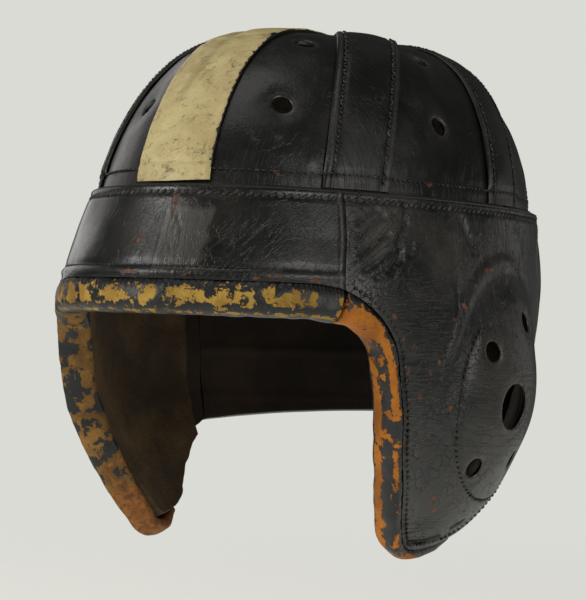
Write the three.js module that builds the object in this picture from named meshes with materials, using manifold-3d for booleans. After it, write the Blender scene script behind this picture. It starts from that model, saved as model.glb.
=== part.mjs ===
import * as THREE from 'three';
import { mergeVertices } from 'three/addons/utils/BufferGeometryUtils.js';
import Module from 'manifold-3d';

// Football helmet of moulded leather: an eight-gore crown held by straps that cross behind its top,
// a brow band, two side panels with domed ears, a nape panel, and padded rolls round the face.
// Millimetres, +Z up, the front faces -Y and the wearer's left is +X.
// Heights in the tables are taken from the seam where the crown meets the band.
// The finished helmet is moved so that its origin is the inside of the crown top, where the head bears.

const wasm = await Module();
wasm.setup();

const LEATHER = 3;
const STRAP = 1.9;
const GAP = 0.3;
const LAID_GAP = 0.9;
const seat = { y: 15, z: 70 };

// Crown: outer face at the seam and above it. "egg" narrows the front, "lean" tips the top backwards.
const crown = { halfLength: 120.7, halfWidth: 86.2, height: 73, egg: 0.19, sides: 3.8, top: 1.5, lean: 17.2 };

// The strap lines start at one crossing behind the middle of the crown. Angles are from the front.
const crossing = { y: 30.5, eye: 7 };
const centreHalfWidth = 15.7;
const sideHalfWidth = 13.8;

// The painted strap has crept to the wearer's right on top. "most" is at the crossing, "least" is what it
// still is where the other straps run under it.
const drift = { most: 6.2, least: 5.2 };
const strapLines = [
  { name: 'front_strap', angle: 28.5 },
  { name: 'cross_strap', angle: 77.2 },
  { name: 'rear_strap', angle: 130 },
];
const goreLines = [
  { name: 'front_gore', from: 0, to: 28.5, columns: 6 },
  { name: 'temple_gore', from: 28.5, to: 77.2, columns: 7 },
  { name: 'rear_side_gore', from: 77.2, to: 130, columns: 7 },
  { name: 'rear_gore', from: 130, to: 180, columns: 7 },
];
const goreRows = 9;
const tuckHeights = [-3.5, -7.5];

// Punched vent holes of one side, as places on the plan of the crown.
const ventRadius = 4.1;
const crownVents = [
  { gore: 'front_gore', x: 31, y: -96.2 },
  { gore: 'front_gore', x: 22.8, y: -68.3 },
  { gore: 'temple_gore', x: 72, y: -31.1 },
  { gore: 'temple_gore', x: 53.5, y: -18 },
  { gore: 'rear_side_gore', x: 72, y: 46.5 },
  { gore: 'rear_side_gore', x: 55, y: 39.8 },
  { gore: 'rear_gore', x: 33, y: 97.1 },
  { gore: 'rear_gore', x: 25, y: 79.7 },
];

// Band and panels: outer face of the leather at a few heights.
const wallRows = [
  { z: 0, front: 124.8, back: 124.8, side: 90.2, egg: 0.19 },
  { z: -18, front: 131, back: 127, side: 92.8, egg: 0.14 },
  { z: -37, front: 138, back: 130, side: 95, egg: 0.11 },
  { z: -60, front: 135, back: 130, side: 95.5, egg: 0.06 },
  { z: -85, front: 133, back: 126, side: 92.5, egg: 0.05 },
  { z: -110, front: 130, back: 118, side: 84.1, egg: 0.06 },
  { z: -140, front: 117, back: 112, side: 73, egg: 0.08 },
  { z: -150, front: 112, back: 109.5, side: 68.5, egg: 0.085 },
];

// Moulded swellings of the wall: the ear dome and the padded nape.
const ear = { y: 0, z: -90, reach: 50, up: 66, down: 58, rise: 12.5, power: 1.4 };
const nape = { top: -8, bottom: -66, edge: 118, ramp: 7, rise: 2.4 };

// The right cheek flap has taken a set: below "top" it leans in, by "inward" at its tip.
const flapCurl = { top: -70, tip: -147, inward: 7, fadeFrom: 25, fadeTo: 58 };

// Holes of one ear panel: the listening hole and the vents round it.
const earHoles = [
  { y: -8, z: -82, radius: 9.6, sides: 18 },
  { y: 8, z: -48.6, radius: 4.3, sides: 10 },
  { y: -23, z: -61, radius: 4.3, sides: 10 },
  { y: 26, z: -59, radius: 4.3, sides: 10 },
  { y: -20.4, z: -107, radius: 4.3, sides: 10 },
  { y: 10, z: -103.7, radius: 4.3, sides: 10 },
];

// Edge of the leather from the middle of the brow round the flap to the nape, and the padded roll on it.
// "turn" is degrees round from the front. The roll stands "reach" beyond the edge, "proud" of the outer
// face and "depth" inside it.
const brim = [
  { turn: 0, z: -37, reach: 13, proud: 2.2, depth: 11 },
  { turn: 12, z: -37, reach: 13, proud: 2.2, depth: 11 },
  { turn: 24, z: -37, reach: 13, proud: 2.2, depth: 11 },
  { turn: 36, z: -37, reach: 13, proud: 2.2, depth: 11 },
  { turn: 43, z: -37.6, reach: 13, proud: 2, depth: 11 },
  { turn: 48.6, z: -40.5, reach: 12, proud: 1.8, depth: 11.5 },
  { turn: 53.6, z: -48, reach: 9, proud: 1.4, depth: 12.5 },
  { turn: 57, z: -60, reach: 6.5, proud: 1, depth: 13.5 },
  { turn: 59, z: -77, reach: 5.5, proud: 0.8, depth: 14 },
  { turn: 62.2, z: -95, reach: 5.5, proud: 0.8, depth: 14 },
  { turn: 66.2, z: -113, reach: 5.5, proud: 0.8, depth: 13.5 },
  { turn: 69.8, z: -132.5, reach: 5.5, proud: 0.8, depth: 12.5 },
  { turn: 74, z: -143.2, reach: 6, proud: 0.8, depth: 11 },
  { turn: 82.5, z: -143.8, reach: 5.3, proud: 0.6, depth: 9 },
  { turn: 91, z: -138.3, reach: 4, proud: 0.4, depth: 7 },
  { turn: 99.5, z: -125, reach: 3, proud: 0.3, depth: 6 },
  { turn: 109, z: -111.5, reach: 3, proud: 0.3, depth: 6 },
  { turn: 118, z: -101, reach: 3, proud: 0.3, depth: 6 },
];
// Places along the edge, counted in rows of the table above.
const bandEnd = 4.7;
const flapTip = 12;
const rollEnd = 14;
const linedFrom = 5.5;
const linedTo = 16;
const brimStep = 0.5;
const rollGap = GAP / 2 / 20;
const napeBottom = { side: -101, middle: -95 };

// Felt and leather pad inside each flap. "inset" is its share of the lined patch, measured from its middle.
const lining = { thickness: 9.5, inset: 0.985, middle: -85 };

const rad = THREE.MathUtils.degToRad;
const lerp = THREE.MathUtils.lerp;

// Smooth value of one column of a table at a position between its rows.
function between(rows, key, column, at) {
  const forward = rows[1][key] > rows[0][key] ? 1 : -1;
  let i = 0;
  while (i < rows.length - 2 && (at - rows[i + 1][key]) * forward > 0) i += 1;
  const slope = (k) => {
    const a = rows[Math.max(k - 1, 0)];
    const b = rows[Math.min(k + 1, rows.length - 1)];
    return (b[column] - a[column]) / (b[key] - a[key]);
  };
  const span = rows[i + 1][key] - rows[i][key];
  const t = (at - rows[i][key]) / span;
  const t2 = t * t;
  const t3 = t2 * t;
  return (2 * t3 - 3 * t2 + 1) * rows[i][column] + (t3 - 2 * t2 + t) * span * slope(i)
    + (3 * t2 - 2 * t3) * rows[i + 1][column] + (t3 - t2) * span * slope(i + 1);
}

// Outward normal of a surface given by two parameters, from small steps to either side.
function normalOf(surface, a, b, stepA, stepB) {
  const alongA = surface(a + stepA, b).sub(surface(a - stepA, b));
  const alongB = surface(a, b + stepB).sub(surface(a, b - stepB));
  return alongA.cross(alongB).normalize();
}

// Share of the way from the middle of the crown to its seam, for a place on the plan.
function crownShare(x, y) {
  const width = crown.halfWidth * (1 + crown.egg * y / crown.halfLength);
  return Math.hypot(y / crown.halfLength, x / width);
}

function crownSkin(x, y) {
  const share = Math.min(crownShare(x, y), 1);
  const level = Math.pow(1 - Math.pow(share, crown.sides), 1 / crown.top);
  return new THREE.Vector3(x, y + crown.lean * level, crown.height * level);
}

function crownPoint(x, y, offset) {
  const share = crownShare(x, y);
  const inside = Math.min(1, 0.992 / Math.max(share, 0.01));
  const normal = normalOf(crownSkin, x * inside, y * inside, 0.3, 0.3);
  if (share > 0.9999) {
    normal.z = 0;
    normal.normalize();
  }
  return crownSkin(x, y).addScaledVector(normal, offset);
}

// Distance from the crossing to the seam along a line of the plan.
function reachToSeam(angle, aside) {
  const along = (d) => [
    Math.sin(angle) * d + Math.cos(angle) * aside,
    crossing.y - Math.cos(angle) * d + Math.sin(angle) * aside,
  ];
  let near = 0;
  let far = 2 * crown.halfLength;
  for (let step = 0; step < 40; step += 1) {
    const middle = (near + far) / 2;
    if (crownShare(...along(middle)) < 1) near = middle;
    else far = middle;
  }
  return near;
}

// Outer face of the band and panels at an angle round from the front and a height, without swellings.
function wallSkin(turn, z) {
  const [front, back, side, egg] = ['front', 'back', 'side', 'egg']
    .map((column) => between(wallRows, 'z', column, z));
  const x = side * Math.sin(turn) * (1 - egg * Math.cos(turn));
  const y = (back - front) / 2 - (back + front) / 2 * Math.cos(turn);
  return new THREE.Vector3(x, y, z);
}

function smooth(edge0, edge1, value) {
  return THREE.MathUtils.smoothstep(value, edge0, edge1);
}

function earSwelling(turn, z) {
  const across = (wallSkin(turn, z).y - ear.y) / ear.reach;
  const up = (z - ear.z) / (z > ear.z ? ear.up : ear.down);
  const left = 1 - across * across - up * up;
  return left > 0 ? ear.rise * Math.pow(left, ear.power) : 0;
}

function napeSwelling(turn, z) {
  const round = smooth(rad(nape.edge), rad(nape.edge + nape.ramp), turn)
    * smooth(rad(360 - nape.edge), rad(360 - nape.edge - nape.ramp), turn);
  const height = (nape.top - z) / (nape.top - nape.bottom);
  return height > 0 && height < 1 ? nape.rise * round * Math.sin(Math.PI * Math.pow(height, 0.75)) : 0;
}

const flat = () => 0;

function wallPoint(turn, z, offset, swelling = flat) {
  const normal = normalOf(wallSkin, turn, z, 1e-3, 0.1);
  return wallSkin(turn, z).addScaledVector(normal, offset + swelling(turn, z));
}

// Turns a list of points and triangles into geometry whose faces point outwards.
function solid(points, triangles) {
  let volume = 0;
  for (const [a, b, c] of triangles) {
    volume += points[a].dot(new THREE.Vector3().crossVectors(points[b], points[c]));
  }
  const faces = volume > 0 ? triangles : triangles.map(([a, b, c]) => [a, c, b]);
  const geometry = new THREE.BufferGeometry();
  geometry.setAttribute('position', new THREE.Float32BufferAttribute(points.flatMap((p) => p.toArray()), 3));
  geometry.setIndex(faces.flat());
  return geometry;
}

// Closed wall between an outer and an inner grid of points that match row by row.
function wallSolid(outer, inner) {
  const rows = outer.length;
  const columns = outer[0].length;
  const points = [...outer.flat(), ...inner.flat()];
  const at = (side, i, j) => side * rows * columns + i * columns + j;
  const triangles = [];
  const quad = (a, b, c, d) => triangles.push([a, b, c], [a, c, d]);
  for (let i = 0; i + 1 < rows; i += 1) {
    for (let j = 0; j + 1 < columns; j += 1) {
      quad(at(0, i, j), at(0, i + 1, j), at(0, i + 1, j + 1), at(0, i, j + 1));
      quad(at(1, i, j), at(1, i, j + 1), at(1, i + 1, j + 1), at(1, i + 1, j));
    }
    quad(at(0, i, 0), at(1, i, 0), at(1, i + 1, 0), at(0, i + 1, 0));
    quad(at(0, i, columns - 1), at(0, i + 1, columns - 1), at(1, i + 1, columns - 1), at(1, i, columns - 1));
  }
  for (let j = 0; j + 1 < columns; j += 1) {
    quad(at(0, 0, j), at(0, 0, j + 1), at(1, 0, j + 1), at(1, 0, j));
    quad(at(0, rows - 1, j), at(1, rows - 1, j), at(1, rows - 1, j + 1), at(0, rows - 1, j + 1));
  }
  return solid(points, triangles);
}

// Closed bar through a row of sections that all have the same number of corners.
function barSolid(sections) {
  const corners = sections[0].length;
  const points = sections.flat();
  const triangles = [];
  for (let i = 0; i + 1 < sections.length; i += 1) {
    for (let j = 0; j < corners; j += 1) {
      const a = i * corners + j;
      const b = i * corners + (j + 1) % corners;
      triangles.push([a, b, b + corners], [a, b + corners, a + corners]);
    }
  }
  const last = (sections.length - 1) * corners;
  for (let j = 1; j + 1 < corners; j += 1) {
    triangles.push([0, j + 1, j], [last, last + j, last + j + 1]);
  }
  return solid(points, triangles);
}

function toManifold(geometry) {
  const bare = geometry.clone();
  bare.deleteAttribute('normal');
  bare.deleteAttribute('uv');
  const merged = mergeVertices(bare, 1e-4);
  return new wasm.Manifold(new wasm.Mesh({
    numProp: 3,
    vertProperties: new Float32Array(merged.attributes.position.array),
    triVerts: new Uint32Array(merged.index.array),
  }));
}

// Punches round holes through a wall. Each hole has a place, a direction, a radius and a number of sides.
function punch(geometry, holes) {
  let body = toManifold(geometry);
  for (const { place, direction, radius, sides } of holes) {
    const cutter = new THREE.CylinderGeometry(radius, radius, 8 * LEATHER, sides);
    cutter.applyQuaternion(new THREE.Quaternion().setFromUnitVectors(new THREE.Vector3(0, 1, 0), direction));
    cutter.translate(place.x, place.y, place.z);
    body = body.subtract(toManifold(cutter));
  }
  const mesh = body.getMesh();
  const punched = new THREE.BufferGeometry();
  punched.setAttribute('position', new THREE.Float32BufferAttribute(mesh.vertProperties, 3));
  punched.setIndex([...mesh.triVerts]);
  return punched;
}

const grid = (rows, columns, point) => Array.from({ length: rows }, (_, i) =>
  Array.from({ length: columns }, (__, j) => point(i / (rows - 1), j / (columns - 1), i, j)));

const finishes = {
  black: new THREE.MeshStandardMaterial({ color: 0x1b1a17, roughness: 0.42 }),
  cream: new THREE.MeshStandardMaterial({ color: 0xcdbb93, roughness: 0.5 }),
  worn: new THREE.MeshStandardMaterial({ color: 0xa8701c, roughness: 0.6 }),
  lining: new THREE.MeshStandardMaterial({ color: 0x6d4a1e, roughness: 0.85 }),
};

const helmet = new THREE.Group();
helmet.position.set(0, -seat.y, -seat.z);

function add(name, geometry, material) {
  const mesh = new THREE.Mesh(geometry, material);
  mesh.name = name;
  helmet.add(mesh);
}

// Leans the lower part of a right-hand piece in, less towards the nape, where it is sewn.
function leanIn(geometry) {
  const place = geometry.attributes.position;
  for (let i = 0; i < place.count; i += 1) {
    const below = Math.max(0, (flapCurl.top - place.getZ(i)) / (flapCurl.top - flapCurl.tip));
    const free = 1 - smooth(flapCurl.fadeFrom, flapCurl.fadeTo, place.getY(i));
    place.setX(i, place.getX(i) + flapCurl.inward * below * below * free);
  }
}

// Adds a left piece and a mirror image on the right, of the same shape unless another is given.
function addPair(name, geometry, material, other = geometry) {
  add(`${name}_left`, geometry, material);
  const mirrored = other.clone().scale(-1, 1, 1);
  leanIn(mirrored);
  const index = mirrored.index.array;
  for (let i = 0; i < index.length; i += 3) {
    [index[i + 1], index[i + 2]] = [index[i + 2], index[i + 1]];
  }
  add(`${name}_right`, mirrored, material);
}

// One gore: a wedge of the crown from the eye under the crossing down to its tuck inside the band.
function gore({ name, from, to, columns }) {
  const bisector = rad((from + to) / 2);
  const retreat = GAP / 2 / Math.sin(rad(to - from) / 2);
  const tip = new THREE.Vector2(Math.sin(bisector) * retreat, -Math.cos(bisector) * retreat);
  const plan = (share, across) => {
    const angle = rad(lerp(from, to, across));
    const far = reachToSeam(angle, 0);
    const distance = lerp(crossing.eye, far, Math.sin(share * Math.PI / 2));
    return [Math.sin(angle) * distance + tip.x, crossing.y - Math.cos(angle) * distance + tip.y];
  };
  const face = (offset) => {
    const rows = grid(goreRows, columns + 1, (share, across) => crownPoint(...plan(share, across), offset));
    for (const z of tuckHeights) {
      rows.push(rows[0].map((_, j) => {
        const [x, y] = plan(1, j / columns);
        const width = crown.halfWidth * (1 + crown.egg * y / crown.halfLength);
        const turn = Math.atan2(x / width, -y / crown.halfLength);
        return wallPoint(turn, z, offset - LEATHER - LAID_GAP);
      }));
    }
    return rows;
  };
  const holes = crownVents.filter((vent) => vent.gore === name).map(({ x, y }) => ({
    place: crownSkin(x, y),
    direction: normalOf(crownSkin, x, y, 0.3, 0.3),
    radius: ventRadius,
    sides: 10,
  }));
  return punch(wallSolid(face(0), face(-LEATHER)), holes);
}

// One half strap, cut to a point where it runs under the straps that lie over it.
function strap(angle, over) {
  const start = (aside) => Math.max(...over.map(({ line, halfWidth }) => {
    const spread = angle - line;
    const towards = Math.sign(Math.sin(spread));
    return (halfWidth + LAID_GAP - towards * aside * Math.cos(spread)) / Math.abs(Math.sin(spread));
  }));
  const face = (offset) => grid(9, 5, (share, across) => {
    const aside = lerp(-sideHalfWidth, sideHalfWidth, across);
    const near = start(aside);
    const distance = lerp(near, reachToSeam(angle, aside), Math.sin(share * Math.PI / 2));
    const point = crownPoint(
      Math.sin(angle) * distance + Math.cos(angle) * aside,
      crossing.y - Math.cos(angle) * distance + Math.sin(angle) * aside,
      offset,
    );
    point.z = Math.max(point.z, LAID_GAP);
    return point;
  });
  return wallSolid(face(LAID_GAP + STRAP), face(LAID_GAP));
}

// The painted strap runs over the top in one piece from the brow to the nape.
function centreStrap() {
  const face = (offset) => grid(25, 4, (share, across) => {
    const aside = lerp(-centreHalfWidth, centreHalfWidth, across);
    const front = crossing.y - reachToSeam(0, aside);
    const back = crossing.y + reachToSeam(Math.PI, -aside);
    const y = lerp(front, back, (1 - Math.cos(share * Math.PI)) / 2);
    const point = crownPoint(aside - drift.most * Math.sin(share * Math.PI), y, offset);
    point.z = Math.max(point.z, LAID_GAP);
    return point;
  });
  return wallSolid(face(LAID_GAP + STRAP), face(LAID_GAP));
}

const brimAt = (row) => {
  const place = { row };
  const rows = brim.map((entry, index) => ({ ...entry, row: index }));
  for (const column of ['turn', 'z', 'reach', 'proud', 'depth']) {
    place[column] = between(rows, 'row', column, Math.abs(row));
  }
  place.turn = rad(place.turn) * Math.sign(row || 1);
  return place;
};

// Section of the padded roll at one place of the edge: a D whose flat side faces the leather's edge.
const rollOutline = [
  { out: 0, up: 0.86 }, { out: 0.45, up: 1 }, { out: 0.85, up: 0.8 }, { out: 1, up: 0.45 },
  { out: 1, up: -0.45 }, { out: 0.85, up: -0.8 }, { out: 0.45, up: -1 }, { out: 0, up: -0.86 },
];
function rollSection(row) {
  const { turn, z, reach, proud, depth } = brimAt(row);
  const step = 0.02;
  const ahead = brimAt(row + step);
  const behind = brimAt(row - step);
  const tangent = wallSkin(ahead.turn, ahead.z).sub(wallSkin(behind.turn, behind.z)).normalize();
  const outward = normalOf(wallSkin, turn, z, 1e-3, 0.1);
  const away = tangent.clone().cross(outward).normalize();
  const origin = wallSkin(turn, z);
  const thickness = (proud + depth) / 2;
  return rollOutline.map(({ out, up }) => origin.clone()
    .addScaledVector(away, GAP + out * (reach - GAP))
    .addScaledVector(outward, proud - thickness + up * thickness));
}

const steps = (from, to, step) => {
  const count = Math.round((to - from) / step);
  return Array.from({ length: count + 1 }, (_, i) => lerp(from, to, i / count));
};

function roll(from, to) {
  return barSolid(steps(from, to, brimStep).map(rollSection));
}

function browBand() {
  const end = brimAt(bandEnd).turn - GAP / 2 / wallRows[2].front;
  const face = (offset) => grid(5, 21, (down, across) => {
    const row = lerp(-bandEnd, bandEnd, across);
    const turn = Math.sign(row) * Math.min(Math.abs(brimAt(row).turn), end);
    return wallPoint(turn, lerp(0, brimAt(row).z, down), offset);
  });
  return wallSolid(face(0), face(-LEATHER));
}

// Place inside a patch of wall whose four sides are rows of (turn, z) places.
function patch(front, rear, top, bottom) {
  return (i, j) => {
    const down = i / (front.length - 1);
    const back = j / (top.length - 1);
    const blend = (key) => lerp(front[i][key], rear[i][key], back) + lerp(top[j][key], bottom[j][key], down)
      - lerp(lerp(front[0][key], rear[0][key], back), lerp(front.at(-1)[key], rear.at(-1)[key], back), down);
    return { turn: blend('turn'), z: blend('z') };
  };
}

function sidePanel() {
  const seamTurn = brimAt(bandEnd).turn + GAP / 2 / wallRows[2].front;
  const seamZ = brimAt(bandEnd).z;
  const front = [
    ...[0, 1 / 3, 2 / 3].map((share) => ({ turn: seamTurn, z: seamZ * share })),
    ...steps(bandEnd, flapTip, brimStep).map(brimAt),
  ];
  front[3].turn = Math.max(front[3].turn, seamTurn);
  const bottom = steps(flapTip, brim.length - 1, brimStep).map(brimAt);
  const rearTurn = rad(nape.edge) - GAP / 2 / wallRows[2].back;
  bottom.at(-1).turn = rearTurn;
  const rear = front.map((_, i) => ({ turn: rearTurn, z: bottom.at(-1).z * i / (front.length - 1) }));
  const top = bottom.map((_, j) => ({ turn: lerp(seamTurn, rearTurn, j / (bottom.length - 1)), z: 0 }));
  const place = patch(front, rear, top, bottom);
  const face = (offset) => grid(front.length, top.length, (_, __, i, j) => {
    const { turn, z } = place(i, j);
    return wallPoint(turn, z, offset, earSwelling);
  });
  const holes = earHoles.map(({ y, z, radius, sides }) => {
    let turn = Math.PI / 2;
    for (let pass = 0; pass < 8; pass += 1) turn += (y - wallSkin(turn, z).y) / wallRows[4].front;
    return {
      place: wallPoint(turn, z, 0, earSwelling),
      direction: normalOf((a, b) => wallPoint(a, b, 0, earSwelling), turn, z, 1e-3, 0.1),
      radius,
      sides,
    };
  });
  return punch(wallSolid(face(0), face(-LEATHER)), holes);
}

function napePanel() {
  const edge = rad(nape.edge) + GAP / 2 / wallRows[2].back;
  const face = (offset) => grid(9, 21, (down, across) => {
    const turn = lerp(edge, 2 * Math.PI - edge, across);
    const bottom = lerp(napeBottom.side, napeBottom.middle, Math.sin(across * Math.PI));
    return wallPoint(turn, bottom * down, offset, napeSwelling);
  });
  return wallSolid(face(0), face(-LEATHER));
}

function flapLining() {
  const front = steps(linedFrom, flapTip, brimStep).map(brimAt);
  const bottom = steps(flapTip, linedTo, brimStep).map(brimAt);
  const rear = front.map((_, i) => ({
    turn: bottom.at(-1).turn,
    z: lerp(front[0].z, bottom.at(-1).z, i / (front.length - 1)),
  }));
  const top = bottom.map((_, j) => ({
    turn: lerp(front[0].turn, bottom.at(-1).turn, j / (bottom.length - 1)),
    z: front[0].z,
  }));
  const place = patch(front, rear, top, bottom);
  const middle = { turn: lerp(front[0].turn, bottom.at(-1).turn, 0.5), z: lining.middle };
  const face = (offset) => grid(front.length, top.length, (_, __, i, j) => {
    const { turn, z } = place(i, j);
    return wallPoint(lerp(middle.turn, turn, lining.inset), lerp(middle.z, z, lining.inset), offset);
  });
  const outer = -LEATHER - LAID_GAP;
  return wallSolid(face(outer), face(outer - lining.thickness));
}

for (const line of goreLines) addPair(line.name, gore(line), finishes.black);
add('centre_strap', centreStrap(), finishes.cream);
const cross = { line: rad(strapLines[1].angle), halfWidth: sideHalfWidth };
for (const { name, angle } of strapLines) {
  const half = (crept) => {
    const centre = { line: 0, halfWidth: centreHalfWidth + crept };
    return strap(rad(angle), name === 'cross_strap' ? [centre] : [centre, cross]);
  };
  addPair(name, half(-drift.least), finishes.black, half(drift.most));
}
add('brow_band', browBand(), finishes.black);
add('brow_roll', roll(-bandEnd + rollGap, bandEnd - rollGap), finishes.worn);
addPair('flap_roll', roll(bandEnd + rollGap, rollEnd), finishes.worn);
addPair('side_panel', sidePanel(), finishes.black);
addPair('flap_lining', flapLining(), finishes.lining);
add('nape_panel', napePanel(), finishes.black);

export default helmet;
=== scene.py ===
import math
from functools import lru_cache, partial

import bmesh
import bpy
from mathutils import Matrix, Vector, noise


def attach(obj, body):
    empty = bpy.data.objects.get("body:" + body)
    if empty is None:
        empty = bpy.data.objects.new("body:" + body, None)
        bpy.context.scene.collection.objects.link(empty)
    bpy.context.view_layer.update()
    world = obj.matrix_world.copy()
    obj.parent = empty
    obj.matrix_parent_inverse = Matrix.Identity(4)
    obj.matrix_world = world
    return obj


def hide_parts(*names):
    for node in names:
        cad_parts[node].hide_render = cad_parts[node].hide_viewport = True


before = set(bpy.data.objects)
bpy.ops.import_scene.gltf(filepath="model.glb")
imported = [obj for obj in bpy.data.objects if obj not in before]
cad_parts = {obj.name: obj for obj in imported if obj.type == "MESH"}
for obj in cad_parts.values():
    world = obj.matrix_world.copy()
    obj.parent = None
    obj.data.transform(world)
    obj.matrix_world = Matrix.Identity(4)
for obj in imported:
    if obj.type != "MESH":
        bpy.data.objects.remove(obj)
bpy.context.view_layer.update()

# Crown gores: eight wedges of 3 mm harness leather, moulded wet over a last, then painted black.
# They butt under the straps, run down inside the band and are sewn there, and each has two punched
# vents. Lengths are millimetres above the seam of crown and band until HOME brings a shape home.
SEAT = Vector((0, 15, 70))
HOME = Matrix.Scale(0.001, 4) @ Matrix.Translation(-SEAT)
LEATHER = 3.0
STRAP = 1.9
# Straps stand LAID_GAP clear of the crown, less what they sink into it, and neighbours GAP apart.
LAID_GAP = 0.9
SUNK = 0.6
GAP = 0.3
HALF_LENGTH, HALF_WIDTH, CROWN_HEIGHT = 120.7, 86.2, 73.0
EGG, SIDES, TOP, LEAN = 0.19, 3.8, 1.5, 17.2
CROSSING_Y, EYE = 30.5, 7.0
GORES = {"front_gore": (0, 28.5), "temple_gore": (28.5, 77.2), "rear_side_gore": (77.2, 130),
         "rear_gore": (130, 180)}
VENT_RADIUS = 4.1
VENTS = {"front_gore": ((31, -96.2), (22.8, -68.3)), "temple_gore": ((72, -31.1), (53.5, -18)),
         "rear_side_gore": ((72, 46.5), (55, 39.8)), "rear_gore": ((33, 97.1), (25, 79.7))}
HEM = 6.2
TUCK_CLEAR, TUCK_END, TUCKED = -3.5, -7.5, 0.1
# Share of the plan's reach past which the crown's skin turns upright.
UPRIGHT_FROM = 0.992
# The flat pattern is longer than the plan by the crown's fall.
FALL = 1.25
CURL_TOP, CURL_TIP, CURL_INWARD = -70, -147, 7


def lerp(a, b, share):
    return a + (b - a) * share


def ease(low, high, value):
    """Smooth step from 0 at low to 1 at high."""
    share = min(max((value - low) / (high - low), 0.0), 1.0)
    return share * share * (3 - 2 * share)


def bump_at(distance, width):
    """Round hump of height 1 at no distance, gone at the width."""
    share = abs(distance) / width
    return (1 - share * share) ** 2 if share < 1 else 0.0


def crown_share(x, y):
    return math.hypot(y / HALF_LENGTH, x / (HALF_WIDTH * (1 + EGG * y / HALF_LENGTH)))


def crown_skin(x, y):
    level = (1 - min(crown_share(x, y), 1) ** SIDES) ** (1 / TOP)
    return Vector((x, y + LEAN * level, CROWN_HEIGHT * level))


def normal_of(surface, a, b, step_a, step_b):
    along_a = surface(a + step_a, b) - surface(a - step_a, b)
    along_b = surface(a, b + step_b) - surface(a, b - step_b)
    return along_a.cross(along_b).normalized()


def crown_point(x, y):
    """Outer face of the crown over a place of its plan, and the way out of it."""
    share = crown_share(x, y)
    inside = min(1, UPRIGHT_FROM / max(share, 0.01))
    normal = normal_of(crown_skin, x * inside, y * inside, 0.3, 0.3)
    normal.z *= ease(1.0, UPRIGHT_FROM, share)
    return crown_skin(x, y), normal.normalized()


def from_crossing(angle, distance, aside):
    """Place of the plan along a line from the crossing, and off to its side."""
    return (math.sin(angle) * distance + math.cos(angle) * aside,
            CROSSING_Y - math.cos(angle) * distance + math.sin(angle) * aside)


@lru_cache(maxsize=None)
def reach_to_seam(angle, aside):
    """Distance from the crossing to the seam along a line of the plan."""
    near, far = 0.0, 2 * HALF_LENGTH
    for _ in range(30):
        middle = (near + far) / 2
        inside = crown_share(*from_crossing(angle, middle, aside)) < 1
        near, far = (middle, far) if inside else (near, middle)
    return near


def handed(place, side):
    """The same place on the wearer's left (side 1) or right (side -1)."""
    def other(*at):
        point, normal, *flat = place(*at)
        return (point * Vector((side, 1, 1)), normal * Vector((side, 1, 1)), *flat)

    return other


# Marks each sheet carries for its material: the first is painted shade in creases, folds and seams;
# the third is rubbed paint and, on some patches and hole rims, a painted highlight.
MARKS = ("crease_shade", "scuff", "edge", "level", "upright", "slanted")
MIDDLE = Vector((0, 0, -40))


def lay(columns, rows, place, relief):
    """A sheet of leather: place(across, down) gives its point, the way out and its flat pattern
    place, and relief(point, flat) how far it stands proud and how strong each of the MARKS is."""
    sheet = bmesh.new()
    bmesh.ops.create_grid(sheet, x_segments=columns, y_segments=rows, size=0.5)
    marks = [sheet.verts.layers.float.new(mark) for mark in MARKS]
    laid = {}
    for corner in sheet.verts:
        point, normal, flat = place(corner.co.x + 0.5, corner.co.y + 0.5)
        proud, *worn = relief(point, flat)
        corner.co = point + normal * proud
        for mark, value in zip(marks, worn):
            corner[mark] = value
        laid[corner] = flat
    pattern = sheet.loops.layers.uv.new("laid")
    for face in sheet.faces:
        for loop in face.loops:
            loop[pattern].uv = (laid[loop.vert][0] / 1000, laid[loop.vert][1] / 1000)
    sheet.normal_update()
    if sum(face.normal.dot(face.calc_center_median() - MIDDLE) for face in sheet.faces) < 0:
        bmesh.ops.reverse_faces(sheet, faces=sheet.faces)
    return sheet


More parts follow.
